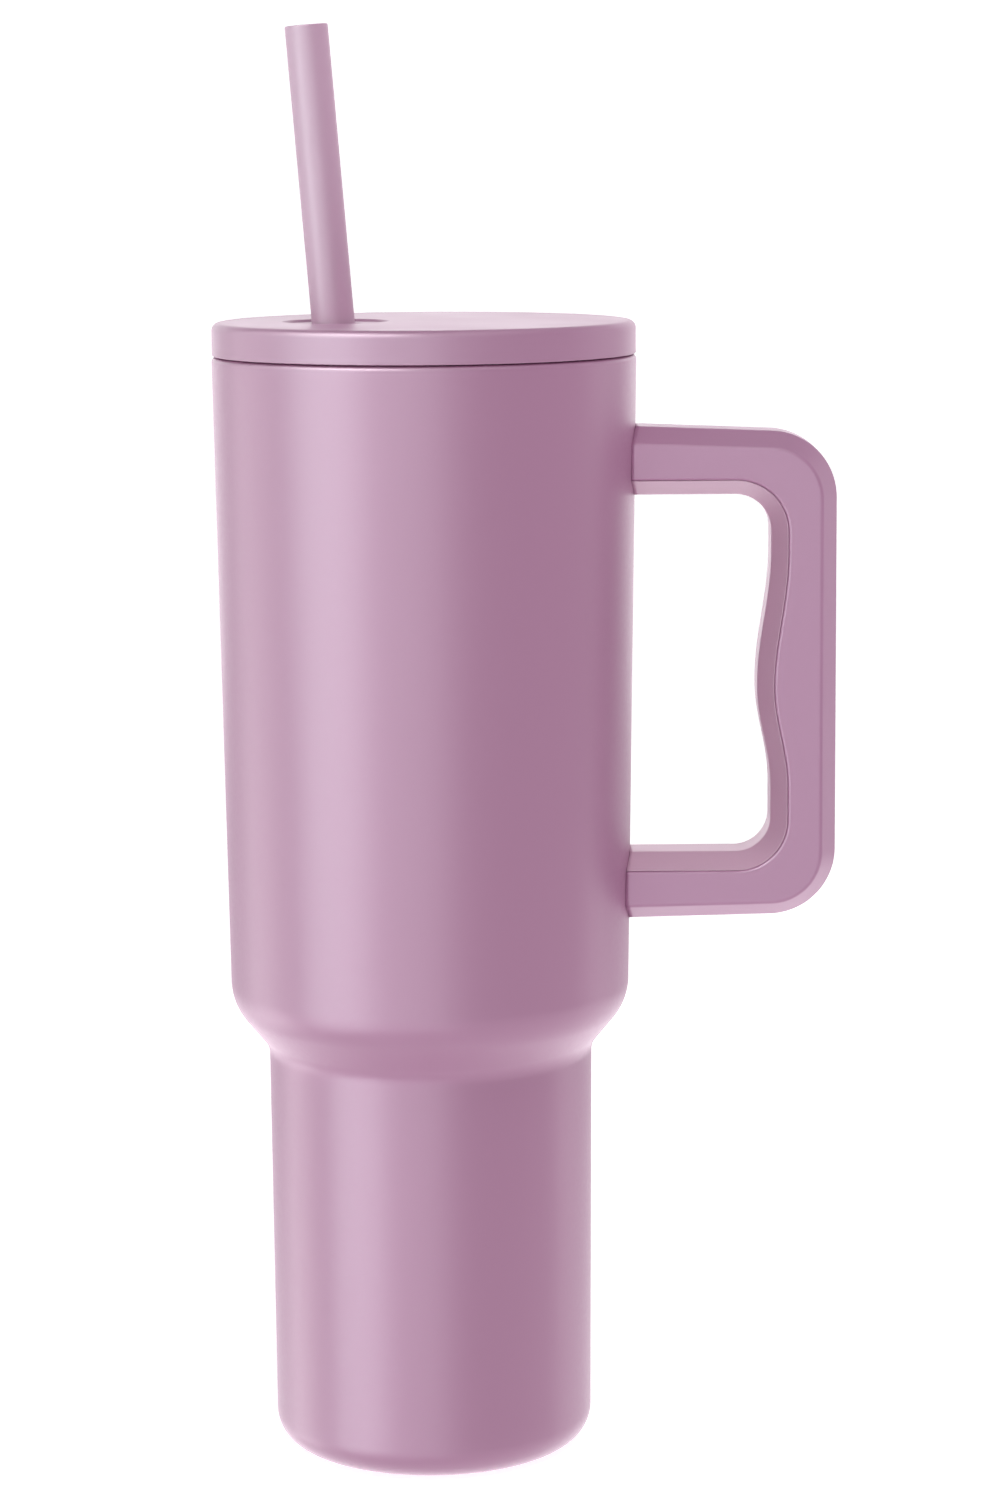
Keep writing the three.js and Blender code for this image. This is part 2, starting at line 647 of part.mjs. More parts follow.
function handleGrip() {
  const channelDepth = HANDLE_DEPTH - 2 * HANDLE_WALL;
  const tongueDepth = channelDepth - 2 * SEAM_GAP;
  const edge = BEVEL_IN - SEAM_GAP / 2;
  const cap = handleLoop().intersect(insideLoop(edge, HANDLE_DEPTH * CUT_OVER));
  const groove = insideLoop(edge + TONGUE_H * CUT_OVER, tongueDepth - 2 * TONGUE_T).subtract(
    insideLoop(edge + TONGUE_WEB, tongueDepth * CUT_OVER),
  );
  const tongue = insideLoop(edge + TONGUE_H, tongueDepth)
    .subtract(insideLoop(edge - 1, tongueDepth * CUT_OVER))
    .subtract(groove);
  const solid = cap.add(tongue).subtract(vesselCutter(SEAM_GAP));
  return piece("handle_grip", geometryOf(solid), FINISH.grip);
}

function bracket(arm) {
  const high = tabZ(arm);
  const low = high - arm.side * TAB_T;
  const reach = wallRadius(arm.z, 0) + TAB_REACH;
  const zs = [high, low].sort((a, b) => a - b);
  const tab = block([HANDLE_ROOT_X, -TAB_W / 2, zs[0]], [reach, TAB_W / 2, zs[1]]);
  const middle = (high + low) / 2;
  const half = FOOT_PLATE_H / 2;
  const footSlab = block(
    [HANDLE_ROOT_X, -FOOT_PLATE_W / 2, middle - half],
    [BODY_TOP_R + FOOT_PLATE_T * 2, FOOT_PLATE_W / 2, middle + half],
  );
  const foot = footSlab.intersect(vesselCutter(SEAM_GAP + FOOT_PLATE_T));
  const hole = postBetween(SCREW_X, SCREW_R + SEAM_GAP, zs[0] - 1, zs[1] + 1);
  const solid = tab.add(foot).subtract(hole).subtract(vesselCutter(SEAM_GAP));
  return piece(arm.name + "_bracket", geometryOf(solid), FINISH.steel);
}

function screw(arm) {
  const seat = tabZ(arm) - arm.side * (TAB_T + SEAM_GAP);
  const headEnd = seat - arm.side * SCREW_HEAD_H;
  const boss = roofZ(arm) - arm.side * BOSS_DROP;
  const tip = boss + arm.side * (SCREW_REACH - 2 * SEAM_GAP);
  const head = postBetween(SCREW_X, SCREW_HEAD_R, seat, headEnd);
  const socketEnd = headEnd + arm.side * HEX_DEPTH;
  const socket = postBetween(SCREW_X, HEX_R, headEnd - arm.side, socketEnd, 6);
  const shank = postBetween(SCREW_X, SCREW_R, seat - arm.side * 0.5, tip);
  const solid = head.add(shank).subtract(socket);
  return piece(arm.name + "_screw", geometryOf(solid), FINISH.steel);
}

// ---- lid ----

// The tube in the lid that surrounds the bush: inner and outer radius.
const TUBE_IN_R = BUSH_R + RUNNING_GAP;
const TUBE_OUT_R = TUBE_IN_R + BUSH_TUBE_WALL;
const TUBE_SPLIT_Z = BUSH_Z - BUSH_HALF_H - BUSH_LIP_GAP;

function lidCover() {
  const inR = LID_R - LID_WALL;
  const edge = LID_EDGE_R;
  const profile = [
    [0, LID_TOP_Z],
    ...arc(LID_R - edge, LID_TOP_Z - edge, edge, Math.PI / 2, 0, 4),
    [LID_R, LID_BOTTOM_Z + 0.3],
    [LID_R - 0.3, LID_BOTTOM_Z],
    [inR, LID_BOTTOM_Z],
    [inR, PLATE_UNDER_Z],
    [0, PLATE_UNDER_Z],
  ];
  const cap = solidOf(turned(profile));
  const floorZ = LID_TOP_Z - DISH_DEPTH;
  const dish = turned(
    [
      [0, floorZ],
      [DISH_R - DISH_DEPTH, floorZ],
      [DISH_R, LID_TOP_Z],
      [DISH_R, LID_TOP_Z + 1],
      [0, LID_TOP_Z + 1],
    ],
    SMALL_SEGMENTS * 2,
  );
  const ribLow = FLANGE_Z + PLUG_FLANGE_T + SEAM_GAP;
  const rib = turned([
    [WELD_RIB_R - WELD_RIB_W / 2, ribLow],
    [WELD_RIB_R + WELD_RIB_W / 2, ribLow],
    [WELD_RIB_R + WELD_RIB_W / 2, PLATE_UNDER_Z + 1],
    [WELD_RIB_R - WELD_RIB_W / 2, PLATE_UNDER_Z + 1],
  ]);
  const tubeLow = TUBE_SPLIT_Z + SEAM_GAP;
  const tube = post(STRAW_HOLE_X, TUBE_OUT_R, tubeLow, PLATE_UNDER_Z + 1);
  const pocket = post(STRAW_HOLE_X, TUBE_IN_R, tubeLow - 1, PLATE_UNDER_Z);
  const hole = post(STRAW_HOLE_X, STRAW_LIP_R, PLATE_UNDER_Z - 1, LID_TOP_Z + 1);
  const solid = cap
    .subtract(solidOf(dish.translate(STRAW_HOLE_X, 0, 0)))
    .add(solidOf(rib))
    .add(tube)
    .subtract(pocket)
    .subtract(hole);
  return piece("lid_cover", geometryOf(solid), FINISH.lid);
}

function lidPlug() {
  const inR = PLUG_R - PLUG_WALL;
  const floorTop = PLUG_BOTTOM_Z + PLUG_WALL;
  const ribTop = FLANGE_Z - SEAM_GAP - GASKET_H - SEAM_GAP;
  const ribLow = ribTop - GASKET_RIB_H;
  const flangeR = LID_R - LID_WALL - SEAM_GAP;
  const profile = [
    [0, PLUG_BOTTOM_Z],
    [PLUG_R - 1, PLUG_BOTTOM_Z],
    [PLUG_R, PLUG_BOTTOM_Z + 1],
    [PLUG_R, ribLow],
    [PLUG_R + GASKET_RIB_W, ribLow],
    [PLUG_R + GASKET_RIB_W, ribTop],
    [PLUG_R, ribTop],
    [PLUG_R, FLANGE_Z],
    [flangeR, FLANGE_Z],
    [flangeR, FLANGE_Z + PLUG_FLANGE_T],
    [inR, FLANGE_Z + PLUG_FLANGE_T],
    [inR, floorTop],
    [0, floorTop],
  ];
  const wall = solidOf(turned(profile));
  const tube = post(STRAW_HOLE_X, TUBE_OUT_R, floorTop - 1, TUBE_SPLIT_Z);
  const boreLow = PLUG_BOTTOM_Z - 1;
  const bore = turned(
    [
      [0, boreLow],
      [STRAW_LIP_R + PLUG_BORE_FLARE, boreLow],
      [STRAW_LIP_R + PLUG_BORE_FLARE, boreLow + 1],
      [STRAW_LIP_R, TUBE_SPLIT_Z],
      [STRAW_LIP_R, TUBE_SPLIT_Z + 1],
      [0, TUBE_SPLIT_Z + 1],
    ],
    SMALL_SEGMENTS,
  );
  const ridgeLow = RIM_Z - THREAD_LOW_BELOW_RIM;
  const phase = Math.PI / THREAD_STARTS;
  const solid = threaded(wall, PLUG_R, true, ridgeLow, phase)
    .add(tube)
    .subtract(solidOf(bore.translate(STRAW_HOLE_X, 0, 0)));
  return piece("lid_plug", geometryOf(solid), FINISH.lid);
}

function lidGasket() {
  const top = FLANGE_Z - SEAM_GAP;
  const low = top - GASKET_H;
  const inR = PLUG_R + SEAM_GAP;
  const notch = 0.6;
  const profile = [
    [inR, low],
    [GASKET_R - notch, low],
    [GASKET_R, low + notch],
    [GASKET_R - notch, low + GASKET_H / 2],
    [GASKET_R, top - notch],
    [GASKET_R - notch, top],
    [inR, top],
  ];
  return piece("lid_gasket", turned(profile), FINISH.seal);
}

// ---- straw ----

// A group whose Z axis is the resting straw's axis and whose origin is the bush's middle.
function strawFrame() {
  const group = new THREE.Group();
  group.position.set(STRAW_HOLE_X, 0, BUSH_Z);
  group.rotation.y = -LEAN;
  return group;
}

function strawBush() {
  const bore = STRAW_R + SEAM_GAP;
  const angle = Math.asin(BUSH_HALF_H / BUSH_R);
  const profile = [
    [bore, -BUSH_HALF_H],
    ...arc(0, 0, BUSH_R, -angle, angle, 8),
    [bore, BUSH_HALF_H],
  ];
  return piece("straw_grommet", turned(profile, SMALL_SEGMENTS), FINISH.seal);
}

function straw() {
  const top = (LID_TOP_Z - BUSH_Z) / Math.cos(LEAN) + STRAW_ABOVE_LID;
  const low = -(BUSH_Z - LINER_FLOOR_Z - STRAW_FLOOR_GAP) / Math.cos(LEAN);
  const inR = STRAW_R - STRAW_WALL;
  const edge = STRAW_END_ROUND_R;
  const profile = [
    ...arc(STRAW_R - edge, low + edge, edge, -Math.PI / 2, 0, 2),
    ...arc(STRAW_R - edge, top - edge, edge, 0, Math.PI / 2, 2),
    ...arc(inR + edge, top - edge, edge, Math.PI / 2, Math.PI, 2),
    ...arc(inR + edge, low + edge, edge, Math.PI, (3 * Math.PI) / 2, 2),
  ];
  return piece("straw", turned(profile, SMALL_SEGMENTS), FINISH.straw);
}

// ---- assembly ----

const tumbler = new THREE.Group();
const strawAxis = strawFrame();
strawAxis.add(strawBush(), straw());
tumbler.add(
  outerShell(),
  innerLiner(),
  linerCup(),
  radiationFoil(),
  outerBase(),
  baseCover(),
  sealBead(),
  getterHolder(),
  getterPill(),
  handleFrame(),
  handleGrip(),
  ...ARMS.map(bracket),
  ...ARMS.map(screw),
  lidCover(),
  lidPlug(),
  lidGasket(),
  strawAxis,
);

export default tumbler;
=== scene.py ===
"""Insulated tumbler with a screw-on lid, a straw and a loop handle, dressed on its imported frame."""

from __future__ import annotations

import logging
import math
from dataclasses import dataclass, field
from enum import Enum
from typing import Any, Sequence

import bmesh
import bpy
import numpy as np
from mathutils import Matrix, Vector

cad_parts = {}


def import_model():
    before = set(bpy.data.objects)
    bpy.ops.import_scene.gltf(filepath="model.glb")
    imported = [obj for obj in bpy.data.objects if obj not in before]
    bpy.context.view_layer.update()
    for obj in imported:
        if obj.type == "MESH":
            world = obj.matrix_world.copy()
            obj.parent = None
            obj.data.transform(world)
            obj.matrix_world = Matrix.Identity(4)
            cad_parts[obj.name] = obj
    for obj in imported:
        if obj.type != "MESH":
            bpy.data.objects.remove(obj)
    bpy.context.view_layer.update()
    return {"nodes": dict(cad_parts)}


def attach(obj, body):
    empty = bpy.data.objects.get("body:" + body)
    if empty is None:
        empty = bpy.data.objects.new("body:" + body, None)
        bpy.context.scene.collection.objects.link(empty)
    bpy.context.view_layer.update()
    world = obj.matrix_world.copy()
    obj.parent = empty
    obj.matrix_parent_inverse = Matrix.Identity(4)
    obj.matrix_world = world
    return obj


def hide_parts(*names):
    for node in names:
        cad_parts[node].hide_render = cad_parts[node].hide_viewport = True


LOG = logging.getLogger("tumbler")
MM = 0.001  # every size below is in millimetres, and meshes are made in metres
WELD = 2e-7  # points of a mesh closer than this become one, in metres
STRAW_LEAN = math.radians(4.5)  # resting lean of the straw towards -X

Array = np.ndarray


# ---------------------------------------------------------------- colour and nodes


def linear(code: str) -> tuple[float, float, float, float]:
    """Turns an sRGB hex colour into linear light.

    Args:
        code: Six hex digits after a hash sign.

    Returns:
        Red, green, blue and an alpha of one.
    """
    value = np.array([int(code[i : i + 2], 16) for i in (1, 3, 5)]) / 255.0
    light = np.where(value <= 0.04045, value / 12.92, ((value + 0.055) / 1.055) ** 2.4)
    return (float(light[0]), float(light[1]), float(light[2]), 1.0)


def add_node(
    tree: bpy.types.NodeTree,
    kind: str,
    settings: dict[str, Any] | None = None,
    inputs: dict[str | int, Any] | None = None,
) -> bpy.types.Node:
    """Adds a node, sets its properties and fills or links its inputs.

    Args:
        tree: Node tree that takes the node.
        kind: Blender's type name of the node.
        settings: Property names and their values.
        inputs: Socket names or numbers, with a value or an output socket to link from.

    Returns:
        The new node.
    """
    node = tree.nodes.new(kind)
    for name, value in (settings or {}).items():
        setattr(node, name, value)
    for key, value in (inputs or {}).items():
        socket = node.inputs[key]
        if isinstance(value, bpy.types.NodeSocket):
            tree.links.new(value, socket)
        else:
            socket.default_value = value
    return node


class Recipe:
    """One material's node tree, put together from the few steps that the finishes share."""

    def __init__(self, name: str) -> None:
        """Starts an empty material.

        Args:
            name: Name of the material.
        """
        self.material = bpy.data.materials.new(name)
        self.material.use_nodes = True
        self.tree = self.material.node_tree
        self.tree.nodes.clear()
        self.out = add_node(self.tree, "ShaderNodeOutputMaterial")

    def place(self) -> bpy.types.NodeSocket:
        """Gives the place on the piece, in metres from the object's origin."""
        return add_node(self.tree, "ShaderNodeTexCoord").outputs["Object"]

    def step(self, kind: str, operation: str, *inputs: Any) -> bpy.types.NodeSocket:
        """Adds one calculation.

        Args:
            kind: Type name of the Math or Vector Math node.
            operation: What it does.
            inputs: Its inputs in order, each a value or a socket to link from.

        Returns:
            The result.
        """
        node = add_node(self.tree, kind, {"operation": operation}, dict(enumerate(inputs)))
        return node.outputs[0]

    def noise(
        self, place: bpy.types.NodeSocket, spacing: float, detail: float, rough: float
    ) -> bpy.types.NodeSocket:
        """Adds cloudy noise.

        Args:
            place: Where the noise is read.
            spacing: Size of its swells in millimetres.
            detail: Octaves.
            rough: Weight of the finer octaves.

        Returns:
            The noise, from zero to one.
        """
        inputs = {"Vector": place, "Scale": 1000 / spacing, "Detail": detail, "Roughness": rough}
        return add_node(self.tree, "ShaderNodeTexNoise", None, inputs).outputs["Fac"]

    def bump(
        self, height: bpy.types.NodeSocket, rise: float, under: bpy.types.NodeSocket | None = None
    ) -> bpy.types.NodeSocket:
        """Adds a bump.

        Args:
            height: Pattern from zero to one.
            rise: Height of the pattern in millimetres.
            under: Normal of a coarser bump that this one lies on.

        Returns:
            The bumped normal.
        """
        inputs = {"Height": height, "Distance": rise * MM, "Strength": 1.0}
        if under is not None:
            inputs["Normal"] = under
        return add_node(self.tree, "ShaderNodeBump", None, inputs).outputs["Normal"]

    def gloss(
        self,
        pattern: bpy.types.NodeSocket,
        roughness: float,
        less: float,
        more: float,
        ends: tuple[float, float] = (0.3, 0.7),
    ) -> bpy.types.NodeSocket:
        """Makes the roughness follow a pattern.

        Args:
            pattern: Pattern from zero to one.
            roughness: Middle roughness.
            less: How much smoother the pattern's low end is.
            more: How much rougher its high end is.
            ends: Values of the pattern that count as its two ends.

        Returns:
            The roughness.
        """
        inputs = {
            "Value": pattern,
            "From Min": ends[0],
            "From Max": ends[1],
            "To Min": roughness - less,
            "To Max": roughness + more,
        }
        return add_node(self.tree, "ShaderNodeMapRange", None, inputs).outputs["Result"]

    def finish(self, colour: str, **values: Any) -> bpy.types.Material:
        """Adds the surface shader and ends the tree.

        Args:
            colour: Base colour as sRGB hex.
            values: The shader's other inputs, with underscores for the spaces in their names.

        Returns:
            The material.
        """
        inputs = {"Base Color": linear(colour)}
        inputs.update({name.replace("_", " "): value for name, value in values.items()})
        shader = add_node(self.tree, "ShaderNodeBsdfPrincipled", None, inputs)
        self.tree.links.new(shader.outputs["BSDF"], self.out.inputs["Surface"])
        return self.material


# ---------------------------------------------------------------- finishes


@dataclass(frozen=True)
class PowderCoat:
    """Polyester powder sprayed on steel and baked: a satin film with a fine orange peel."""

    name: str = "baked_powder_coat"
    colour: str = "#B380A1"
    roughness: float = 0.40
    peel_mm: float = 1.1  # spacing of the orange peel's swells
    peel_height_mm: float = 0.006
    grain_mm: float = 0.35  # spacing of the powder's fine grain
    grain_height_mm: float = 0.0012
    uneven: float = 0.03  # how far the gloss wanders to each side

    def material(self) -> bpy.types.Material:
        """Builds the coat: even colour, two sizes of bump and a slightly uneven gloss."""
        recipe = Recipe(self.name)
        place = recipe.place()
        peel = recipe.noise(place, self.peel_mm, 2.0, 0.4)
        grain = recipe.noise(place, self.grain_mm, 1.0, 0.5)
        swell = recipe.bump(peel, self.peel_height_mm)
        return recipe.finish(
            self.colour,
            Roughness=recipe.gloss(peel, self.roughness, self.uneven, self.uneven),
            IOR=1.5,
            Normal=recipe.bump(grain, self.grain_height_mm, swell),
        )


@dataclass(frozen=True)
class MouldedPolypropylene:
    """Polypropylene moulded against a fine spark-eroded steel: satin, with a faint milky depth."""

    name: str
    colour: str
    roughness: float = 0.42
    grain_mm: float = 0.5  # spacing of the eroded grain, drawn coarser than real so that it shows
    grain_height_mm: float = 0.004
    cloud_mm: float = 26.0  # spacing of the flow clouds in the gloss
    uneven: float = 0.04  # how far the gloss wanders to each side
    depth: float = 0.06  # share of light that enters the plastic

    def material(self) -> bpy.types.Material:
        """Builds the plastic: mould grain, clouded gloss and a little subsurface light."""
        recipe = Recipe(self.name)
        place = recipe.place()
        grain = recipe.noise(place, self.grain_mm, 3.0, 0.55)
        cloud = recipe.noise(place, self.cloud_mm, 2.0, 0.5)
        return recipe.finish(
            self.colour,
            Roughness=recipe.gloss(cloud, self.roughness, self.uneven, self.uneven, (0.25, 0.75)),
            IOR=1.49,
            Subsurface_Weight=self.depth,
            Subsurface_Radius=(1.0, 0.6, 0.8),
            Subsurface_Scale=0.8 * MM,
            Normal=recipe.bump(grain, self.grain_height_mm),
        )


class Grain(Enum):
    """Direction of the marks that a steel's last working leaves.

    The two numbers stretch the noise: metres for each radian round the axis, and the share of the
    height. The smaller number is the way along which the marks run.
    """

    SPUN = (0.002, 1.0)  # rings round the vessel's axis
    DRAWN = (0.04, 0.03)  # lines along the vessel's axis
    ROLLED = (0.01, 0.3)  # even mill marks


@dataclass(frozen=True)
class StainlessSteel:
    """18/8 stainless sheet: grey, slightly warm, with the fine marks of its last working."""

    name: str
    grain: Grain
    colour: str = "#C9C8C5"
    roughness: float = 0.28
    mark_mm: float = 0.25  # spacing of the marks, drawn coarser than real so that they show
    mark_height_mm: float = 0.0015

    def material(self) -> bpy.types.Material:
        """Builds the steel: stretched noise for the marks, used for both bump and gloss."""
        recipe = Recipe(self.name)
        tree = recipe.tree
        parts = add_node(tree, "ShaderNodeSeparateXYZ", None, {"Vector": recipe.place()}).outputs
        flat = add_node(tree, "ShaderNodeCombineXYZ", None, {"X": parts["X"], "Y": parts["Y"]})
        reach = add_node(
            tree, "ShaderNodeVectorMath", {"operation": "LENGTH"}, {0: flat.outputs["Vector"]}
        )
        turn = recipe.step("ShaderNodeMath", "ARCTAN2", parts["Y"], parts["X"])
        along, rise = self.grain.value
        stretched = {
            "X": reach.outputs["Value"],
            "Y": recipe.step("ShaderNodeMath", "MULTIPLY", turn, along),
            "Z": recipe.step("ShaderNodeMath", "MULTIPLY", parts["Z"], rise),
        }
        where = add_node(tree, "ShaderNodeCombineXYZ", None, stretched).outputs["Vector"]
        marks = recipe.noise(where, self.mark_mm, 3.0, 0.6)
        return recipe.finish(
            self.colour,
            Metallic=1.0,
            Roughness=recipe.gloss(marks, self.roughness, 0.06, 0.08),
            Normal=recipe.bump(marks, self.mark_height_mm),
        )


@dataclass(frozen=True)
class LiquidSilicone:
    """Injection-moulded silicone rubber: cloudy, soft-edged and dull, with a dusty bloom."""

    name: str = "moulded_silicone"
    colour: str = "#E4DCE1"
    roughness: float = 0.55
    bloom_mm: float = 0.9  # spacing of the bloom's patches
    bloom_height_mm: float = 0.004

    def material(self) -> bpy.types.Material:
        """Builds the rubber: strong subsurface light and a fine matt bloom."""
        recipe = Recipe(self.name)
        bloom = recipe.noise(recipe.place(), self.bloom_mm, 3.0, 0.6)
        return recipe.finish(
            self.colour,
            Roughness=recipe.gloss(bloom, self.roughness, 0.08, 0.1, (0.0, 1.0)),
            IOR=1.41,
            Subsurface_Weight=0.35,
            Subsurface_Radius=(1.0, 0.9, 0.95),
            Subsurface_Scale=1.6 * MM,
            Normal=recipe.bump(bloom, self.bloom_height_mm),
        )


@dataclass(frozen=True)
class ExtrudedTube:
    """Polypropylene tube drawn from a die: satin, with faint lines along its length."""

    name: str = "extruded_polypropylene"
    colour: str = "#CEA6C0"
    roughness: float = 0.52
    line_mm: float = 0.6  # spacing of the die lines round the tube
    line_height_mm: float = 0.003
    stretch: float = 0.01  # share of the tube's length that the lines' noise sees
    lean: float = STRAW_LEAN

    def material(self) -> bpy.types.Material:
        """Builds the plastic: noise stretched along the tube's own axis for the die lines."""
        recipe = Recipe(self.name)
        inputs = {"Vector": recipe.place(), "Rotation": (0.0, -self.lean, 0.0)}
        upright = add_node(recipe.tree, "ShaderNodeMapping", {"vector_type": "TEXTURE"}, inputs)
        stretched = recipe.step(
            "ShaderNodeVectorMath", "MULTIPLY", upright.outputs["Vector"], (1.0, 1.0, self.stretch)
        )
        lines = recipe.noise(stretched, self.line_mm, 2.0, 0.5)
        return recipe.finish(
            self.colour,
            Roughness=recipe.gloss(lines, self.roughness, 0.04, 0.05),
            IOR=1.49,
            Subsurface_Weight=0.12,
            Subsurface_Radius=(1.0, 0.6, 0.8),
            Subsurface_Scale=0.9 * MM,
            Normal=recipe.bump(lines, self.line_height_mm),
        )


@dataclass(frozen=True)
class HiddenMaterial:
    """A small sealed piece's own substance: rolled foil, fused glass or pressed powder."""

    name: str
    colour: str
    metallic: float
    roughness: float
    crease_mm: float  # spacing of creases or grains
    crease_height_mm: float

    def material(self) -> bpy.types.Material:
        """Builds the substance: a cell pattern gives the foil's creases and the powder's grains."""
        recipe = Recipe(self.name)
        inputs = {"Vector": recipe.place(), "Scale": 1000 / self.crease_mm}
        cells = add_node(recipe.tree, "ShaderNodeTexVoronoi", {"feature": "F1"}, inputs)
        return recipe.finish(
            self.colour,
            Metallic=self.metallic,
            Roughness=self.roughness,
            Normal=recipe.bump(cells.outputs["Distance"], self.crease_height_mm),
        )


# ---------------------------------------------------------------- surfaces


def rounded(corners: Sequence[Sequence[float]], radii: Sequence[float], steps: int = 6) -> Array:
    """Rounds the corners of a chain of points.

    Each corner is cut back along both sides by radius times the tangent of half its turn, and a
    circular arc joins the two cuts. Short support points follow each arc, so that the flat faces
    beside it stay flat to the eye.

    Args:
        corners: Points of the chain, two numbers each.
        radii: One radius for each point; the two end points take none.
        steps: Pieces of each arc.

    Returns:
        The rounded chain, one point in each row.
    """
    points = np.asarray(corners, float)
    chain: list[Array] = [points[:1]]
    for i in range(1, len(points) - 1):
        before = points[i - 1] - points[i]
        after = points[i + 1] - points[i]
        length = (np.linalg.norm(before), np.linalg.norm(after))
        before, after = before / length[0], after / length[1]
        turn = math.pi - math.acos(float(np.clip(before @ after, -1, 1)))
        radius = radii[i]
        if radius <= 0 or turn < 1e-3:
            chain.append(points[i : i + 1])
            continue
        cut = min(radius * math.tan(turn / 2), 0.48 * min(length))
        radius = cut / math.tan(turn / 2)
        start, end = points[i] + before * cut, points[i] + after * cut
        inward = (before + after) / np.linalg.norm(before + after)
        centre = points[i] + inward * (radius / math.cos(turn / 2))
        share = np.linspace(0, 1, steps + 1)[:, None]
        a, b = (start - centre) / radius, (end - centre) / radius
        weight = math.sin(turn)
        arc = centre + radius * (
            np.sin((1 - share) * turn) / weight * a + np.sin(share * turn) / weight * b
        )
        support = min(0.25 * radius, 0.04 * min(length))
        chain += [(start + before * support)[None], arc, (end + after * support)[None]]
    chain.append(points[-1:])
    return np.concatenate(chain)


def refined(chain: Array, longest: float) -> Array:
    """Adds points to a chain so that no side is longer than a length, by even division.

    Args:
        chain: Points, one in each row.
        longest: The longest side allowed.

    Returns:
        The chain with the added points.
    """
    sides = np.linalg.norm(np.diff(chain, axis=0), axis=1)
    place = np.concatenate([[0.0], np.cumsum(sides)])
    counts = np.maximum(1, np.ceil(sides / longest).astype(int))
    stops = [np.linspace(a, b, n, endpoint=False) for a, b, n in zip(place, place[1:], counts)]
    where = np.concatenate([*stops, place[-1:]])
    return np.stack([np.interp(where, place, chain[:, k]) for k in range(chain.shape[1])], axis=1)


def turned(profile: Array, around: int = 288) -> Array:
    """Turns a profile round Z.

    A point at radius r and height z goes to (r cos a, r sin a, z) for evenly spaced angles a.

    Args:
        profile: Radius and height, one pair in each row.
        around: Number of angles.

    Returns:
        Points of shape rows by angles by three.
    """
    angle = np.linspace(0, 2 * np.pi, around, endpoint=False)
    radius, height = profile[:, :1], profile[:, 1:2]
    flat = np.ones_like(angle)
    return np.stack([radius * np.cos(angle), radius * np.sin(angle), height * flat], axis=2)


def skin(
    name: str,
    points: Array,
    material: bpy.types.Material,
    wrap_rows: bool = True,
    wrap_columns: bool = True,
) -> bpy.types.Object:
    """Covers a grid of points with quads, facing outwards.

    Point (i, j) is joined to (i + 1, j) and (i, j + 1), round the end where the grid wraps. Rows
    that shrink to one point close as a pole. The sum of (a + c) . (b x d) over the quads tells
    which way they face.

    Args:
        name: Name of the object.
        points: Rows by columns by three, in millimetres.
        material: The finish.
        wrap_rows: Whether the last row joins the first.
        wrap_columns: Whether the last column joins the first.

    Returns:
        The new object, with its place in its mesh.
    """
    rows, columns = points.shape[:2]
    index = np.arange(rows * columns).reshape(rows, columns)
    if wrap_rows:
        index = np.concatenate([index, index[:1]], axis=0)
    if wrap_columns:
        index = np.concatenate([index, index[:, :1]], axis=1)
    faces = np.stack(
        [index[:-1, :-1], index[1:, :-1], index[1:, 1:], index[:-1, 1:]], axis=2
    ).reshape(-1, 4)
    flat = points.reshape(-1, 3) * MM
    a, b, c, d = (flat[faces[:, k]] for k in range(4))
    facing = np.einsum("ij,ij->", a, np.cross(b, c)) + np.einsum("ij,ij->", a, np.cross(c, d))
    if facing < 0:
        faces = faces[:, ::-1]
    mesh = bpy.data.meshes.new(name)
    mesh.vertices.add(len(flat))
    mesh.vertices.foreach_set("co", flat.ravel())
    mesh.loops.add(faces.size)
    mesh.loops.foreach_set("vertex_index", np.ascontiguousarray(faces).ravel())
    mesh.polygons.add(len(faces))
    mesh.polygons.foreach_set("loop_start", np.arange(0, faces.size, 4))
    mesh.update(calc_edges=True)
    mesh.validate()
    work = bmesh.new()
    work.from_mesh(mesh)
    bmesh.ops.remove_doubles(work, verts=work.verts, dist=WELD)
    bmesh.ops.dissolve_degenerate(work, edges=work.edges, dist=WELD / 2)
    work.to_mesh(mesh)
    work.free()
    mesh.shade_smooth()
    mesh.materials.append(material)
    piece = bpy.data.objects.new(name, mesh)
    bpy.context.scene.collection.objects.link(piece)
    return piece


def fit_on(
    piece: bpy.types.Object, body: str, node: str | tuple[str, ...]
) -> bpy.types.Object:
    """Rides a piece on its body in place of one or more nodes, and logs it.

    Args:
        piece: The new piece.
        body: Body that it moves with.
        node: Node or nodes that it stands for.

    Returns:
        The same piece.
    """
    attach(piece, body)
    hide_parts(*([node] if isinstance(node, str) else node))
    LOG.info("%s on %s: %d faces", piece.name, body, len(piece.data.polygons))
    return piece


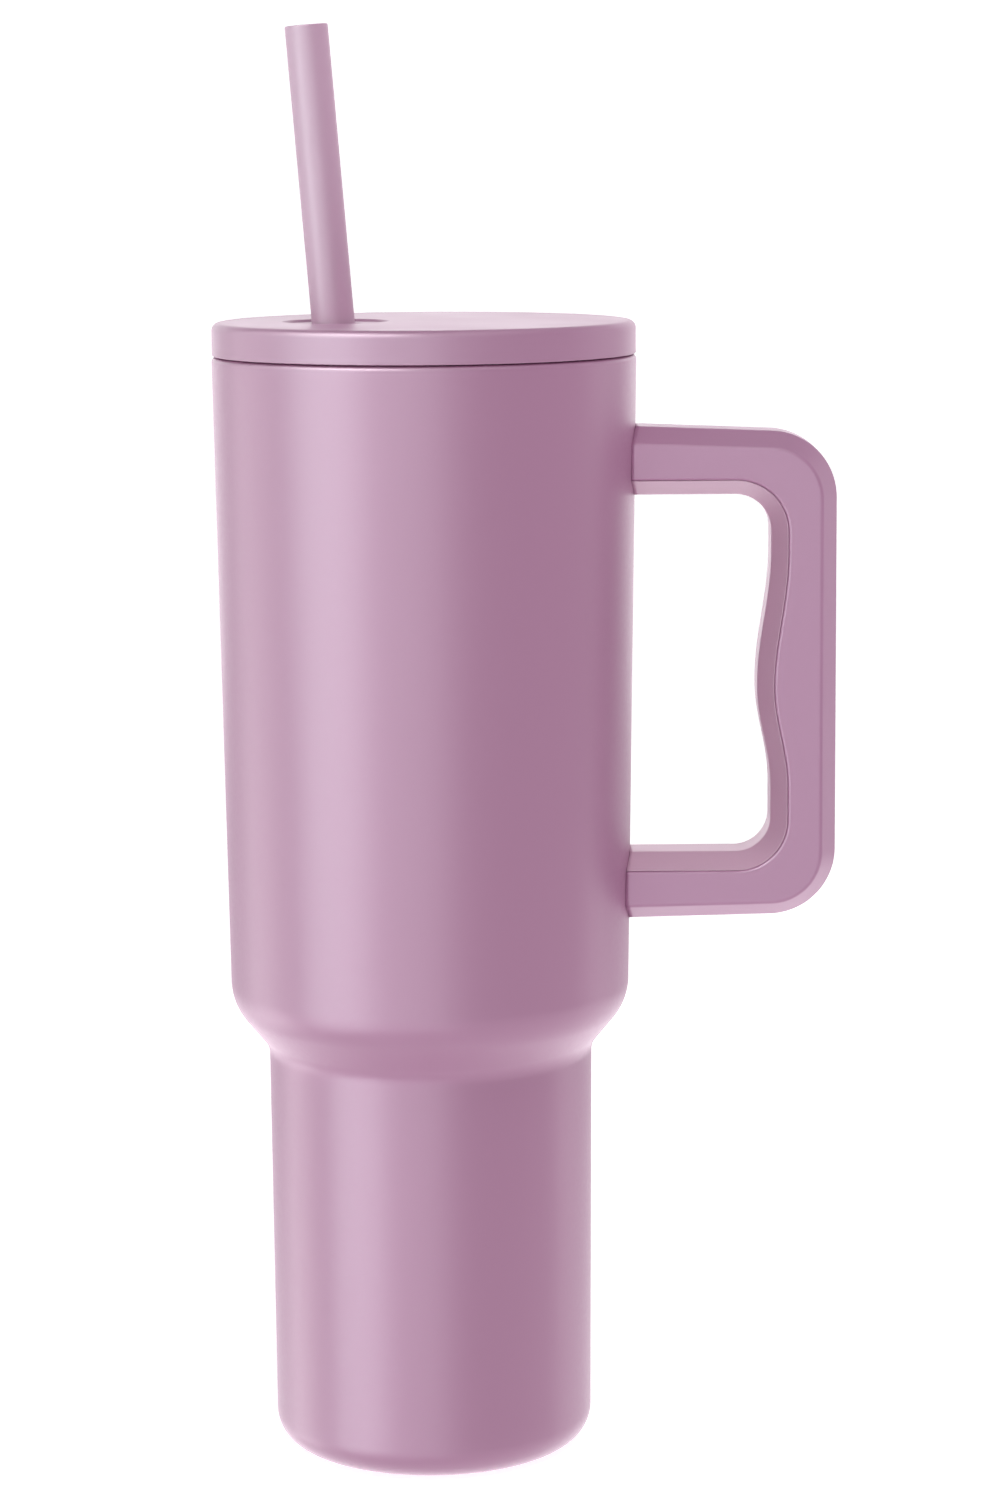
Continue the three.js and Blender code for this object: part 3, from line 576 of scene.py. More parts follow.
@dataclass(frozen=True)
class Thread:
    """A two-start ridge that climbs round an upright wall."""

    lead: float = 8.0
    starts: int = 2
    low_z: float = 250.1
    span: float = 2 * math.pi * 30 / 48
    phase: float = math.pi / 48
    height: float = 1.3
    root_w: float = 2.0
    crest_w: float = 0.9
    fade: float = 0.16  # angle over which each end of a ridge sinks away

    def rise(self, angle: Array, z: Array, offset: float = 0.0) -> Array:
        """Gives the ridge's height over the wall.

        For each start the ridge's middle climbs by lead times angle over a full turn. The height
        falls from one to zero by a smooth step between half the crest's and half the root's width
        from that middle, and it fades the same way at the ridge's two ends.

        Args:
            angle: Angles round the axis.
            z: Heights, of a shape that broadcasts with the angles.
            offset: Extra phase of the first start.

        Returns:
            Heights in millimetres.
        """
        total = np.zeros(np.broadcast(angle, z).shape)
        for start in range(self.starts):
            begin = self.phase + offset + 2 * np.pi * start / self.starts
            along = np.mod(angle - begin + 0.5, 2 * np.pi) - 0.5
            middle = self.low_z + self.lead * along / (2 * np.pi)
            away = np.abs(z - middle)
            side = np.clip((self.root_w / 2 - away) / ((self.root_w - self.crest_w) / 2), 0, 1)
            ends = np.clip(np.minimum(along, self.span - along) / self.fade, 0, 1)
            both = side**2 * (3 - 2 * side) * ends**2 * (3 - 2 * ends)
            total = np.maximum(total, both)
        return self.height * total


# ---------------------------------------------------------------- vessel


@dataclass
class Vessel:
    """The double-wall vessel: coated shell, steel liner and base."""

    top_r: float = 49.3
    shoulder_r: float = 47.15
    rim_z: float = 260.3
    shoulder_z: float = 113.0
    shoulder_round: float = 13.5
    shoulder_angle: float = 0.686
    waist_round: float = 6.5
    waist_r: float = 38.3
    foot_r: float = 37.8
    foot_round: float = 7.8
    lip_round: float = 1.3
    shell_wall: float = 0.6
    liner_wall: float = 0.5
    inset: float = 4.1
    neck_r: float = 45.1
    neck_depth: float = 16.0
    seam_r: float = 47.2
    seam: float = 0.3
    floor_z: float = 8.6
    floor_round: float = 9.0
    base_r: float = 29.5
    recess_r: float = 24.3
    recess_rise: float = 1.1
    port_rise: float = 1.7
    thread: Thread = field(default_factory=Thread)

    def wall_radius(self, z: Array | float) -> Array | float:
        """Gives the shell's outer radius at a height over the shoulder."""
        share = (z - self.shoulder_z) / (self.rim_z - self.shoulder_z)
        return self.shoulder_r + (self.top_r - self.shoulder_r) * share

    def side(self, inset: float) -> Array:
        """Gives the vessel's side from shoulder to waist, moved inwards.

        A convex arc leaves the upright wall, a straight cone follows at the shoulder's angle, and
        a concave arc turns it upright again. Moving inwards shrinks the first arc's radius and
        grows the second's.

        Args:
            inset: Distance to move inwards.

        Returns:
            Radius and height pairs from the top down.
        """
        a = self.shoulder_angle
        bend_x = self.shoulder_r - self.shoulder_round
        start = np.array([bend_x, self.shoulder_z])
        cone_r = bend_x + self.shoulder_round * math.cos(a)
        cone_z = self.shoulder_z - self.shoulder_round * math.sin(a)
        waist_x = self.waist_r + self.waist_round
        end_r = waist_x - self.waist_round * math.cos(a)
        end_z = cone_z - (cone_r - end_r) / math.tan(a)
        waist = np.array([waist_x, end_z - self.waist_round * math.sin(a)])
        upper = np.linspace(0, -a, 15)
        lower = np.linspace(math.pi - a, math.pi, 11)
        r1, r2 = self.shoulder_round - inset, self.waist_round + inset
        arc1 = start + r1 * np.stack([np.cos(upper), np.sin(upper)], axis=1)
        arc2 = waist + r2 * np.stack([np.cos(lower), np.sin(lower)], axis=1)
        return np.concatenate([arc1, arc2])

    def arc(self, cx: float, cz: float, radius: float, start: float, end: float) -> Array:
        """Gives an arc as radius and height pairs, from one angle to another in degrees."""
        angle = np.radians(np.linspace(start, end, 13))
        return np.stack([cx + radius * np.cos(angle), cz + radius * np.sin(angle)], axis=1)

    def shell(self, material: bpy.types.Material) -> bpy.types.Object:
        """Builds the coated shell: its outline runs over the rim, down the side, under the base
        and back up the inside, and is turned round Z."""
        lip_x, lip_z = self.top_r - self.lip_round, self.rim_z - self.lip_round
        foot_x = self.foot_r - self.foot_round
        inner = self.side(self.shell_wall)[::-1]
        inner_r = self.foot_round - self.shell_wall
        edge = self.seam_r + self.seam / 2
        outline = np.concatenate(
            [
                [[edge, self.rim_z - 0.15], [edge + 0.15, self.rim_z]],
                self.arc(lip_x, lip_z, self.lip_round, 90, 0),
                self.side(0.0),
                self.arc(foot_x, self.foot_round, self.foot_round, 0, -90),
                [[self.base_r + 0.1, 0.0], [self.base_r, 0.1], [self.base_r, self.shell_wall]],
                self.arc(foot_x, self.foot_round, inner_r, -90, 0),
                inner,
                self.arc(lip_x, lip_z, self.lip_round - self.shell_wall, 0, 90),
                [[edge, self.rim_z - self.shell_wall]],
            ]
        )
        grid = turned(refined(outline, 3.0), 320)
        return fit_on(skin("coated_shell", grid, material), "cup", "outer_shell")

    def liner(self, material: bpy.types.Material) -> bpy.types.Object:
        """Builds the liner: the turned inside outline, whose neck wall is pushed in by the
        thread's rise at each angle and height."""
        foot_r = self.foot_r - self.inset
        corner = (foot_r - self.floor_round, self.floor_z + self.floor_round)
        neck_z = self.rim_z - self.neck_depth
        wall = self.liner_wall
        outer = self.side(self.inset - wall)
        low_in = float(self.wall_radius(neck_z - 4)) - self.inset
        edge = self.seam_r - self.seam / 2
        neck = np.linspace(neck_z, self.rim_z - 0.7, 96)
        inside = np.concatenate(
            [
                [[0.0, self.floor_z]],
                self.arc(*corner, self.floor_round, -90, 0),
                self.side(self.inset)[::-1],
                [[low_in, neck_z - 4]],
                np.stack([np.full_like(neck, self.neck_r), neck], axis=1),
                self.arc(self.neck_r + 0.6, self.rim_z - 0.6, 0.6, 180, 90),
                [[edge - 0.15, self.rim_z], [edge, self.rim_z - 0.15]],
            ]
        )
        outside = np.concatenate(
            [
                [[edge, self.rim_z - wall], [self.neck_r + wall, self.rim_z - wall]],
                [[self.neck_r + wall, neck_z], [low_in + wall, neck_z - 4]],
                outer,
                self.arc(*corner, self.floor_round + wall, 0, -90),
                [[0.0, self.floor_z - wall]],
            ]
        )
        outline = refined(np.concatenate([inside, outside]), 4.0)
        grid = turned(outline, 288)
        angle = np.arctan2(grid[..., 1], grid[..., 0])
        radius = np.hypot(grid[..., 0], grid[..., 1])
        neck_wall = np.abs(radius - self.neck_r) < 0.01
        push = np.where(neck_wall, self.thread.rise(angle, grid[..., 2]), 0.0)
        scale = np.where(radius > 1, (radius - push) / np.maximum(radius, 1), 1.0)
        grid[..., :2] *= scale[..., None]
        piece = skin("steel_liner", grid, material, wrap_rows=False)
        return fit_on(piece, "cup", ("inner_liner", "liner_cup"))

    def base(self, material: bpy.types.Material) -> None:
        """Builds the stamped base disc and the cover disc in its recess, both turned round Z."""
        rise, edge, sheet = self.recess_rise, self.base_r - self.seam, 0.8
        bowl = rise + self.port_rise  # height of the small bowl round the port
        lower = [(1.5, bowl), (4.2, bowl), (5.0, rise), (self.recess_r, rise), (self.recess_r, 0.0)]
        outer = [(edge, 0.0), (edge, sheet)]
        recess = self.recess_r + sheet
        upper = [(recess, sheet), (recess, rise + sheet), (5.8, rise + sheet)]
        top = [(5.0, bowl + sheet), (1.5, bowl + sheet)]
        corners = lower + outer + upper + top
        disc = turned(refined(rounded(corners, [0.0] + [0.3] * 10 + [0.0]), 3.0), 192)
        fit_on(skin("base_disc", disc, material), "cup", "outer_base")
        cover_r = self.recess_r - self.seam
        cover = [(0.0, 0.0), (cover_r, 0.0), (cover_r, sheet), (0.0, sheet)]
        grid = turned(refined(rounded(cover, [0, 0.2, 0.2, 0]), 3.0), 192)
        piece = skin("base_cover_disc", grid, material, wrap_rows=False)
        fit_on(piece, "cup", "base_cover")


# ---------------------------------------------------------------- handle


@dataclass
class Handle:
    """The loop handle: an outer channel and the insert that closes it on the finger side."""

    vessel: Vessel
    out_x: float = 95.7
    thick: float = 15.3
    arm_h: float = 15.6
    upper_z: float = 235.5
    lower_z: float = 135.75
    outer_r: float = 15.6
    inner_top_r: float = 8.4
    inner_low_r: float = 8.2
    screw_x: float = 58.5  # where each arm has its full height
    upper_draft: float = 0.04  # slope of the upper arm's outer edge
    lower_draft: float = 0.022  # slope of the lower arm's outer edge
    half_depth: float = 11.0
    half_flat: float = 5.0
    bevel: float = 3.7
    wall: float = 2.2
    swell_h: float = 3.2
    swell_z: float = 183.0
    swell_up: float = 31.5
    swell_down: float = 24.0
    root_x: float = 48.9  # where the arms meet the wall, before each point is fitted to it
    groove: float = 0.02  # half the fine gap between channel and insert
    step: float = 0.15  # how far the channel's faces stand over the insert's bevels at the gap
    edges: tuple[Array, Array, Array, Array] = field(init=False)
    arm_share: Array = field(init=False)

    def __post_init__(self) -> None:
        """Lays out the stations round the loop."""
        self.edges, self.arm_share = self.stations()

    def swell(self, z: Array) -> Array:
        """Gives the finger swell: half a cosine on each side of its crest, longer above it."""
        length = np.where(z > self.swell_z, self.swell_up, self.swell_down)
        share = np.minimum(1, np.abs(z - self.swell_z) / length)
        return self.swell_h * (1 + np.cos(np.pi * share)) / 2

    def stations(self) -> tuple[tuple[Array, Array, Array, Array], Array]:
        """Lays out matching points on the loop's outer and inner edge.

        The upper arm, its corner, the grip, the lower corner and the lower arm follow each other.
        The arms' inner edges are level and their outer edges slope by the draft, so an outer
        corner turns by a right angle less the slope's angle. Each edge has a normal that points
        into the handle.

        Returns:
            Outer points, outer normals, inner points and inner normals, and for each station the
            share of an arm's length that is left to the corner, or zero off the arms.
        """
        in_x = self.out_x - self.thick
        in_top, in_low = self.upper_z - self.arm_h / 2, self.lower_z + self.arm_h / 2
        bend_x, bend_in = self.out_x - self.outer_r, in_x - self.inner_top_r
        beyond = bend_x - self.screw_x
        fall, climb = math.atan(self.upper_draft), math.atan(self.lower_draft)
        top = self.upper_z + self.arm_h / 2 - self.upper_draft * beyond
        low = self.lower_z - self.arm_h / 2 + self.lower_draft * beyond
        top_mid, low_mid = top - self.outer_r / math.cos(fall), low + self.outer_r / math.cos(climb)
        low_in = in_x - self.inner_low_r
        arm = np.linspace(0, 1, 30)
        turn = np.radians(np.linspace(90, 0, 26))
        top_turn = turn * (1 - 2 * fall / np.pi)
        low_turn = -turn[::-1] * (1 - 2 * climb / np.pi)
        grip = np.linspace(0, 1, 110)[1:-1]

        def arm_rows(
            share: Array, end_x: float, z: float, side: float, draft: float = 0.0
        ) -> tuple[Array, Array]:
            """Gives an arm's straight edge, which leaves the vessel at a slope, and its normal."""
            x = self.root_x + (end_x - self.root_x) * share
            edge = z - side * draft * (end_x - x)
            way = np.array([-draft, side]) / math.hypot(1, draft)
            return np.stack([x, edge], 1), np.broadcast_to(way, (len(x), 2))

        def bend_rows(
            angle: Array, cx: float, cz: float, radius: float, side: float
        ) -> tuple[Array, Array]:
            """Gives a corner's arc and its normal."""
            way = np.stack([np.cos(angle), np.sin(angle)], 1)
            return np.array([cx, cz]) + radius * way, side * way

        out_grip_z = top_mid + (low_mid - top_mid) * grip
        start, end = in_top - self.inner_top_r, in_low + self.inner_low_r
        in_z = start + (end - start) * grip
        slope = (self.swell(in_z + 0.01) - self.swell(in_z - 0.01)) / 0.02
        length = np.hypot(1, slope)
        ones = np.ones_like(grip)
        outer = [
            arm_rows(arm, bend_x, top, -1, self.upper_draft),
            bend_rows(top_turn, bend_x, top_mid, self.outer_r, -1),
            (np.stack([self.out_x * ones, out_grip_z], 1), np.stack([-ones, 0 * ones], 1)),
            bend_rows(low_turn, bend_x, low_mid, self.outer_r, -1),
            arm_rows(arm[::-1], bend_x, low, 1, self.lower_draft),
        ]
        inner = [
            arm_rows(arm, bend_in, in_top, 1),
            bend_rows(turn, bend_in, start, self.inner_top_r, 1),
            (
                np.stack([in_x - self.swell(in_z), in_z], 1),
                np.stack([1 / length, slope / length], 1),
            ),
            bend_rows(-turn[::-1], low_in, end, self.inner_low_r, 1),
            arm_rows(arm[::-1], low_in, in_low, -1),
        ]
        left = np.concatenate([1 - arm, 0 * turn, 0 * grip, 0 * turn, (1 - arm)[::-1]])
        keep = np.ones(len(left), bool)
        keep[[len(arm) - 1, len(left) - len(arm)]] = False
        o, n = (np.concatenate([part[k] for part in outer])[keep] for k in (0, 1))
        i, m = (np.concatenate([part[k] for part in inner])[keep] for k in (0, 1))
        return (o, n, i, m), left[keep]

    def sweep(self, section: Array) -> Array:
        """Carries a closed section round the loop.

        A section point has a weight w, a depth from each edge and a sideways place y. Its place in
        the loop's plane is (1 - w) times the outer edge moved in by the first depth, plus w times
        the inner edge moved in by the second. On the arms x is stretched so that the first station
        lies on the vessel's wall, whose x at that height and y is the root of radius squared less
        y squared.

        Args:
            section: Rows of w, outer depth, inner depth and y.

        Returns:
            Points of shape stations by section points by three.
        """
        o, n, i, m = (edge[:, None, :] for edge in self.edges)
        w, d_out, d_in, y = (section[:, k][None, :, None] for k in range(4))
        flat = (1 - w) * (o + n * d_out) + w * (i + m * d_in)
        x, z = flat[..., 0], flat[..., 1]
        side = np.broadcast_to(y[..., 0], x.shape)
        left = self.arm_share[:, None]
        wall = np.sqrt(np.asarray(self.vessel.wall_radius(z)) ** 2 - side**2) + 0.12
        x = x + left * (wall - self.root_x)
        return np.stack([x, side, z], axis=2)

    def from_inner(self, part: Array) -> Array:
        """Makes section rows from points given by their depth from the inner edge and their y."""
        one = np.ones(len(part))
        return np.stack([one, 0 * one, part[:, 0], part[:, 1]], 1)

    def frame(self, material: bpy.types.Material) -> bpy.types.Object:
        """Builds the channel: two faces, two long bevels and the outer flat, with softened edges,
        and the hollow behind them."""
        h, f, b = self.half_depth, self.half_flat, self.bevel
        lip = b + self.groove
        outside = rounded(
            [(5.0, -h), (b, -h), (0, -f), (0, f), (b, h), (5.0, h)], [0, 1.7, 1.3, 1.3, 1.7, 0], 8
        )
        front = rounded([(lip, -h + 1.6), (lip, -h), (lip + 2, -h)], [0, 0.8, 0], 8)
        face = np.linspace(1, 0, 10)[1:-1]
        hi, ho = h - self.wall, self.wall
        hollow = [(1.5 + lip, hi), (ho + 3.2, hi), (ho, 3.8)]
        mirrored = [(depth, -y) for depth, y in reversed(hollow)]
        inside = rounded(hollow + mirrored, [0, 0.8, 0.8, 0.8, 0.8, 0], 3)

        def from_outer(part: Array) -> Array:
            """Places points by their depth from the outer edge."""
            one = np.ones(len(part))
            return np.stack([0 * one, part[:, 0], 0 * one, part[:, 1]], 1)

        def across(weights: Array, y: float) -> Array:
            """Places points on the flat face between the two edges."""
            one = np.ones(len(weights))
            return np.stack([weights, 5.0 * one, (lip + 1.0) * one, y * one], 1)

        back = front[::-1] * [1, -1]
        section = np.concatenate(
            [
                self.from_inner(front[:-1]),
                across(face, -h),
                from_outer(outside[1:-1]),
                across(face[::-1], h),
                self.from_inner(back[1:]),
                self.from_inner(np.array([[lip, hi + 0.3], [lip, hi]])),
                from_outer(inside[1:-1]),
                self.from_inner(np.array([[lip, -hi], [lip, -hi - 0.3]])),
            ]
        )
        grid = self.sweep(section)
        piece = skin("handle_channel", grid, material, wrap_rows=False)
        return fit_on(close_ends(piece), "cup", "handle_frame")

    def insert(self, material: bpy.types.Material) -> bpy.types.Object:
        """Builds the insert: the inner flat and its two bevels, with a tongue behind them."""
        h, f, b = self.half_depth, self.half_flat, self.bevel
        depth = b - self.groove
        y_seam = f + (h - f) * depth / b - self.step
        half = [(depth, -y_seam + 1.4), (depth, -y_seam), (0, -f)]
        corners = half + [(d, -y) for d, y in reversed(half)]
        skin_part = rounded(corners, [0, 0.1, 1.3, 1.3, 0.1, 0], 8)
        tongue = np.array([(depth, 8.4), (depth + 1.9, 8.4), (depth + 1.9, -8.4), (depth, -8.4)])
        section = self.from_inner(np.concatenate([skin_part, tongue]))
        piece = skin("handle_insert", self.sweep(section), material, wrap_rows=False)
        return fit_on(close_ends(piece), "cup", "handle_grip")


def close_ends(piece: bpy.types.Object) -> bpy.types.Object:
    """Closes the open loops at a swept piece's ends with flat caps facing outwards.

    Args:
        piece: The swept piece.

    Returns:
        The same piece.
    """
    work = bmesh.new()
    work.from_mesh(piece.data)
    open_edges = [edge for edge in work.edges if edge.is_boundary]
    bmesh.ops.holes_fill(work, edges=open_edges, sides=0)
    bmesh.ops.recalc_face_normals(work, faces=work.faces)
    work.to_mesh(piece.data)
    work.free()
    return piece


# ---------------------------------------------------------------- lid


@dataclass
class Lid:
    """The screw-on lid: cover with its dish, threaded plug and gasket."""

    radius: float = 49.2
    low_z: float = 260.8
    height: float = 7.3
    edge_r: float = 1.8
    drop: float = 0.28  # how far the skirt reaches down into the shadow gap
    skirt: float = 2.2
    plate: float = 3.0
    hole: tuple[float, float] = (-20.4, 0.0)
    hole_r: float = 6.4
    dish_r: float = 12.4
    dish_depth: float = 0.6
    tube_in: float = 8.25
    tube_out: float = 10.15
    bush_z: float = 260.5
    bush_room: float = 4.6
    plug_r: float = 42.9
    plug_low: float = 248.3
    plug_wall: float = 2.0
    flange_r: float = 46.5
    neck_r: float = 45.1
    thread: Thread = field(default_factory=Thread)
    around: int = 384

    @property
    def top(self) -> float:
        """Height of the lid's top."""
        return self.low_z + self.height

    def ways(self) -> Array:
        """Gives unit vectors from the straw's hole, evenly spaced round it."""
        angle = np.linspace(0, 2 * np.pi, self.around, endpoint=False)
        return np.stack([np.cos(angle), np.sin(angle)], axis=1)

    def reach(self, radius: Array | float) -> Array:
        """Gives the distance from the hole's middle to a circle round the lid's axis.

        With c the hole's middle and d a way out of it, the distance is
        -c.d + sqrt(radius^2 - c.c + (c.d)^2).
        """
        centre = np.array(self.hole)
        dot = self.ways() @ centre
        return -dot + np.sqrt(np.asarray(radius) ** 2 - centre @ centre + dot**2)

    def row(self, distance: Array | float, z: Array | float) -> Array:
        """Gives one ring of points at a distance from the hole's middle and a height."""
        flat = np.array(self.hole) + self.ways() * np.broadcast_to(distance, self.around)[:, None]
        return np.column_stack([flat, np.broadcast_to(z, self.around)])

    def near(self, pairs: Array) -> list[Array]:
        """Gives rings round the hole from radius and height pairs."""
        return [self.row(r, z) for r, z in pairs]

    def far(self, pairs: Array) -> list[Array]:
        """Gives rings round the lid's axis from radius and height pairs."""
        return [self.row(self.reach(r), z) for r, z in pairs]

    def between(self, near_r: float, far_r: float, z: float, count: int) -> list[Array]:
        """Gives flat rings that change evenly from a ring round the hole to one round the axis."""
        share = np.linspace(0, 1, count + 2)[1:-1]
        return [self.row((1 - s) * near_r + s * self.reach(far_r), z) for s in share]

    def cover(self, material: bpy.types.Material) -> bpy.types.Object:
        """Builds the cover: rings lead from the hole over the dish, the top, the rounded edge and
        the side, then back under the plate and down the tube round the bush."""
        floor_z = self.top - self.dish_depth
        under = self.top - self.plate
        tube_low = self.bush_z - self.bush_room + 0.3
        top, radius, low = self.top, self.radius, self.low_z - self.drop
        dish = [(self.hole_r, under), (self.hole_r, floor_z), (self.dish_r - 0.9, floor_z)]
        dish += [(self.dish_r + 0.1, top), (self.dish_r + 2.5, top)]
        dish = rounded(dish, [0, 0.45, 0.9, 0.7, 0], 7)
        side = [(radius - 4, top), (radius, top), (radius, low)]
        side += [(radius - self.skirt, low), (radius - self.skirt, under), (radius - 5, under)]
        side = rounded(side, [0, self.edge_r, 0.2, 0.3, 0.5, 0], 8)
        tube = [(self.tube_out + 1.5, under), (self.tube_out, under), (self.tube_out, tube_low)]
        tube += [(self.tube_in, tube_low), (self.tube_in, under), (self.hole_r, under)]
        tube = rounded(tube, [0, 0.4, 0.3, 0.3, 0.3, 0], 4)
        rings = [
            *self.near(refined(dish, 1.2)),
            *self.between(self.dish_r + 2.5, self.radius - 4, self.top, 26),
            *self.far(refined(side, 1.2)),
            *self.between(self.tube_out + 1.5, self.radius - 5, under, 12)[::-1],
            *self.near(refined(tube, 1.2)[:-1]),
        ]
        piece = skin("lid_top_cover", np.stack(rings), material)
        return fit_on(piece, "lid", "lid_cover")

    def plug(self, material: bpy.types.Material) -> bpy.types.Object:
        """Builds the plug: its outer wall carries the ridges, its floor leads to the flared bore
        and the tube that holds the bush, and its inner wall to the flange."""
        floor_top = self.plug_low + self.plug_wall
        tube_top = self.bush_z - self.bush_room
        flange_low = self.low_z + 0.3
        rib_top = flange_low - 3.3
        in_r = self.plug_r - self.plug_wall
        hole, tube, plug, low = self.hole_r, self.tube_out, self.plug_r, self.plug_low
        bore = [(hole + 4.0, low), (hole + 1.4, low), (hole, tube_top), (tube, tube_top)]
        bore += [(tube, floor_top), (tube + 1.5, floor_top)]
        bore = rounded(bore, [0, 0.5, 0.4, 0.4, 0.6, 0], 5)
        flange = [(in_r - 2, floor_top), (in_r, floor_top), (in_r, flange_low + 2)]
        flange += [(self.flange_r, flange_low + 2), (self.flange_r, flange_low), (plug, flange_low)]
        rib = [(plug, rib_top), (plug + 1.0, rib_top), (plug + 1.0, rib_top - 0.8)]
        rib += [(plug, rib_top - 0.8), (plug, rib_top - 1.3)]
        radii = [0, 0.6, 0.3, 0.4, 0.4, 0.15, 0.15, 0.25, 0.25, 0.15, 0]
        upper = rounded(flange + rib, radii, 4)
        lower = rounded([(plug, low + 1.5), (plug, low), (plug - 3, low)], [0, 0.9, 0], 6)
        wall_z = np.linspace(rib_top - 1.4, self.plug_low + 1.5, 72)
        plain = self.row(self.reach(self.plug_r), 0.0)
        angle = np.arctan2(plain[:, 1], plain[:, 0])
        ridges = self.thread.rise(angle[None, :], wall_z[:, None], math.pi / 2)
        wall = [self.row(self.reach(self.plug_r + r), z) for r, z in zip(ridges, wall_z)]
        rings = [
            *self.near(refined(bore, 1.5)),
            *self.between(self.tube_out + 1.5, in_r - 2, floor_top, 8),
            *self.far(refined(upper, 1.5)),
            *wall,
            *self.far(refined(lower, 1.5)),
            *self.between(self.hole_r + 4.0, self.plug_r - 3, self.plug_low, 10)[::-1],
        ]
        piece = skin("lid_threaded_plug", np.stack(rings), material)
        return fit_on(piece, "lid", "lid_plug")

    def gasket(self, material: bpy.types.Material) -> bpy.types.Object:
        """Builds the gasket: a ring with two soft sealing lips, turned round Z."""
        top, low = self.low_z, self.low_z - 2.7
        in_r, out_r = self.plug_r + 0.3, self.neck_r - 0.3
        corners = [(in_r, low + 1.3), (in_r, low), (out_r - 0.7, low), (out_r, low + 0.6)]
        corners += [(out_r - 0.6, low + 1.35), (out_r, top - 0.6), (out_r - 0.7, top)]
        corners += [(in_r, top), (in_r, low + 1.4)]
        profile = rounded(corners, [0, 0.2, 0.2, 0.3, 0.4, 0.3, 0.2, 0.2, 0], 5)[:-1]
        piece = skin("lid_gasket_ring", turned(refined(profile, 1.0), 256), material)
        return fit_on(piece, "lid_seal", "lid_gasket")


# ---------------------------------------------------------------- straw


@dataclass
class DrinkingStraw:
    """The straw and the silicone bush that holds it in the lid."""

    radius: float = 5.0
    wall: float = 0.9
    lean: float = STRAW_LEAN
    pivot: tuple[float, float, float] = (-20.4, 0.0, 260.5)
    lid_top: float = 268.1
    above: float = 67.9
    below: float = 250.3  # height from the pivot down to the straw's lower end
    bush_r: float = 7.9
    bush_half: float = 3.4

    def leaned(self, grid: Array) -> Array:
        """Turns points about the pivot, so that their Z axis leans towards -X.

        x goes to x cos a - z sin a and z to x sin a + z cos a, and the pivot is added.
        """
        c, s = math.cos(self.lean), math.sin(self.lean)
        x, y, z = grid[..., 0], grid[..., 1], grid[..., 2]
        return np.stack([x * c - z * s, y, x * s + z * c], axis=-1) + np.array(self.pivot)

    def tube(self, material: bpy.types.Material) -> bpy.types.Object:
        """Builds the straw: a turned wall with rounded ends."""
        top = (self.lid_top - self.pivot[2]) / math.cos(self.lean) + self.above
        low = -self.below / math.cos(self.lean)
        out_r, in_r = self.radius, self.radius - self.wall
        corners = [(out_r, 0.0), (out_r, top), (in_r, top), (in_r, low)]
        corners += [(out_r, low), (out_r, -1.0)]
        profile = rounded(corners, [0, 0.35, 0.35, 0.35, 0.35, 0], 6)
        grid = self.leaned(turned(refined(profile, 6.0), 96))
        piece = skin("drinking_straw", grid, material)
        return fit_on(piece, "straw_tube", "straw")

    def bush(self, material: bpy.types.Material) -> bpy.types.Object:
        """Builds the bush: a barrel with a thin collar that hugs the straw, turned round it."""
        angle = math.asin(self.bush_half / self.bush_r)
        swing = np.linspace(-angle, angle, 21)
        barrel = self.bush_r * np.stack([np.cos(swing), np.sin(swing)], axis=1)
        bore, half = self.radius + 0.3, self.bush_half
        collar = [(6.2, half + 0.1), (5.5, half + 1.2), (5.12, half + 1.3)]
        inner = [(5.12, half + 0.7), (bore, half - 0.3), (bore, -half)]
        profile = np.concatenate([barrel, collar, inner])
        grid = self.leaned(turned(refined(profile, 0.8), 128))
        piece = skin("straw_bush", grid, material)
        return fit_on(piece, "straw_joint", "straw_grommet")


# ---------------------------------------------------------------- studio


class Duty(Enum):
    """What a softbox does to the pieces."""

    BOTH = "both"  # lights them and is mirrored in them
    SHINE = "shine"  # is only mirrored


@dataclass(frozen=True)
class Softbox:
    """A rectangular light that faces the vessel's middle."""

    name: str
    azimuth: float  # degrees from the camera's side, positive towards +X
    elevation: float  # degrees over the horizon
    distance: float  # from the vessel's middle
    width: float
    height: float
    power: float  # watts
    duty: Duty = Duty.SHINE
    tint: str = "#FFFFFF"
    middle_z: float = 150.0  # height of the vessel's middle

    def hang(self) -> None:
        """Makes the light and points it."""
        data = bpy.data.lights.new(self.name, "AREA")
        data.shape = "RECTANGLE"
        data.size, data.size_y = self.width * MM, self.height * MM
        data.energy = self.power
        data.color = linear(self.tint)[:3]
        light = bpy.data.objects.new(self.name, data)
        bpy.context.scene.collection.objects.link(light)
        a, e = math.radians(self.azimuth), math.radians(self.elevation)
        way = Vector((math.sin(a) * math.cos(e), -math.cos(a) * math.cos(e), math.sin(e)))
        light.location = Vector((0.0, 0.0, self.middle_z * MM)) + way * self.distance * MM
        light.rotation_euler = way.to_track_quat("Z", "Y").to_euler()
        light.visible_camera = False
        light.visible_diffuse = self.duty is Duty.BOTH


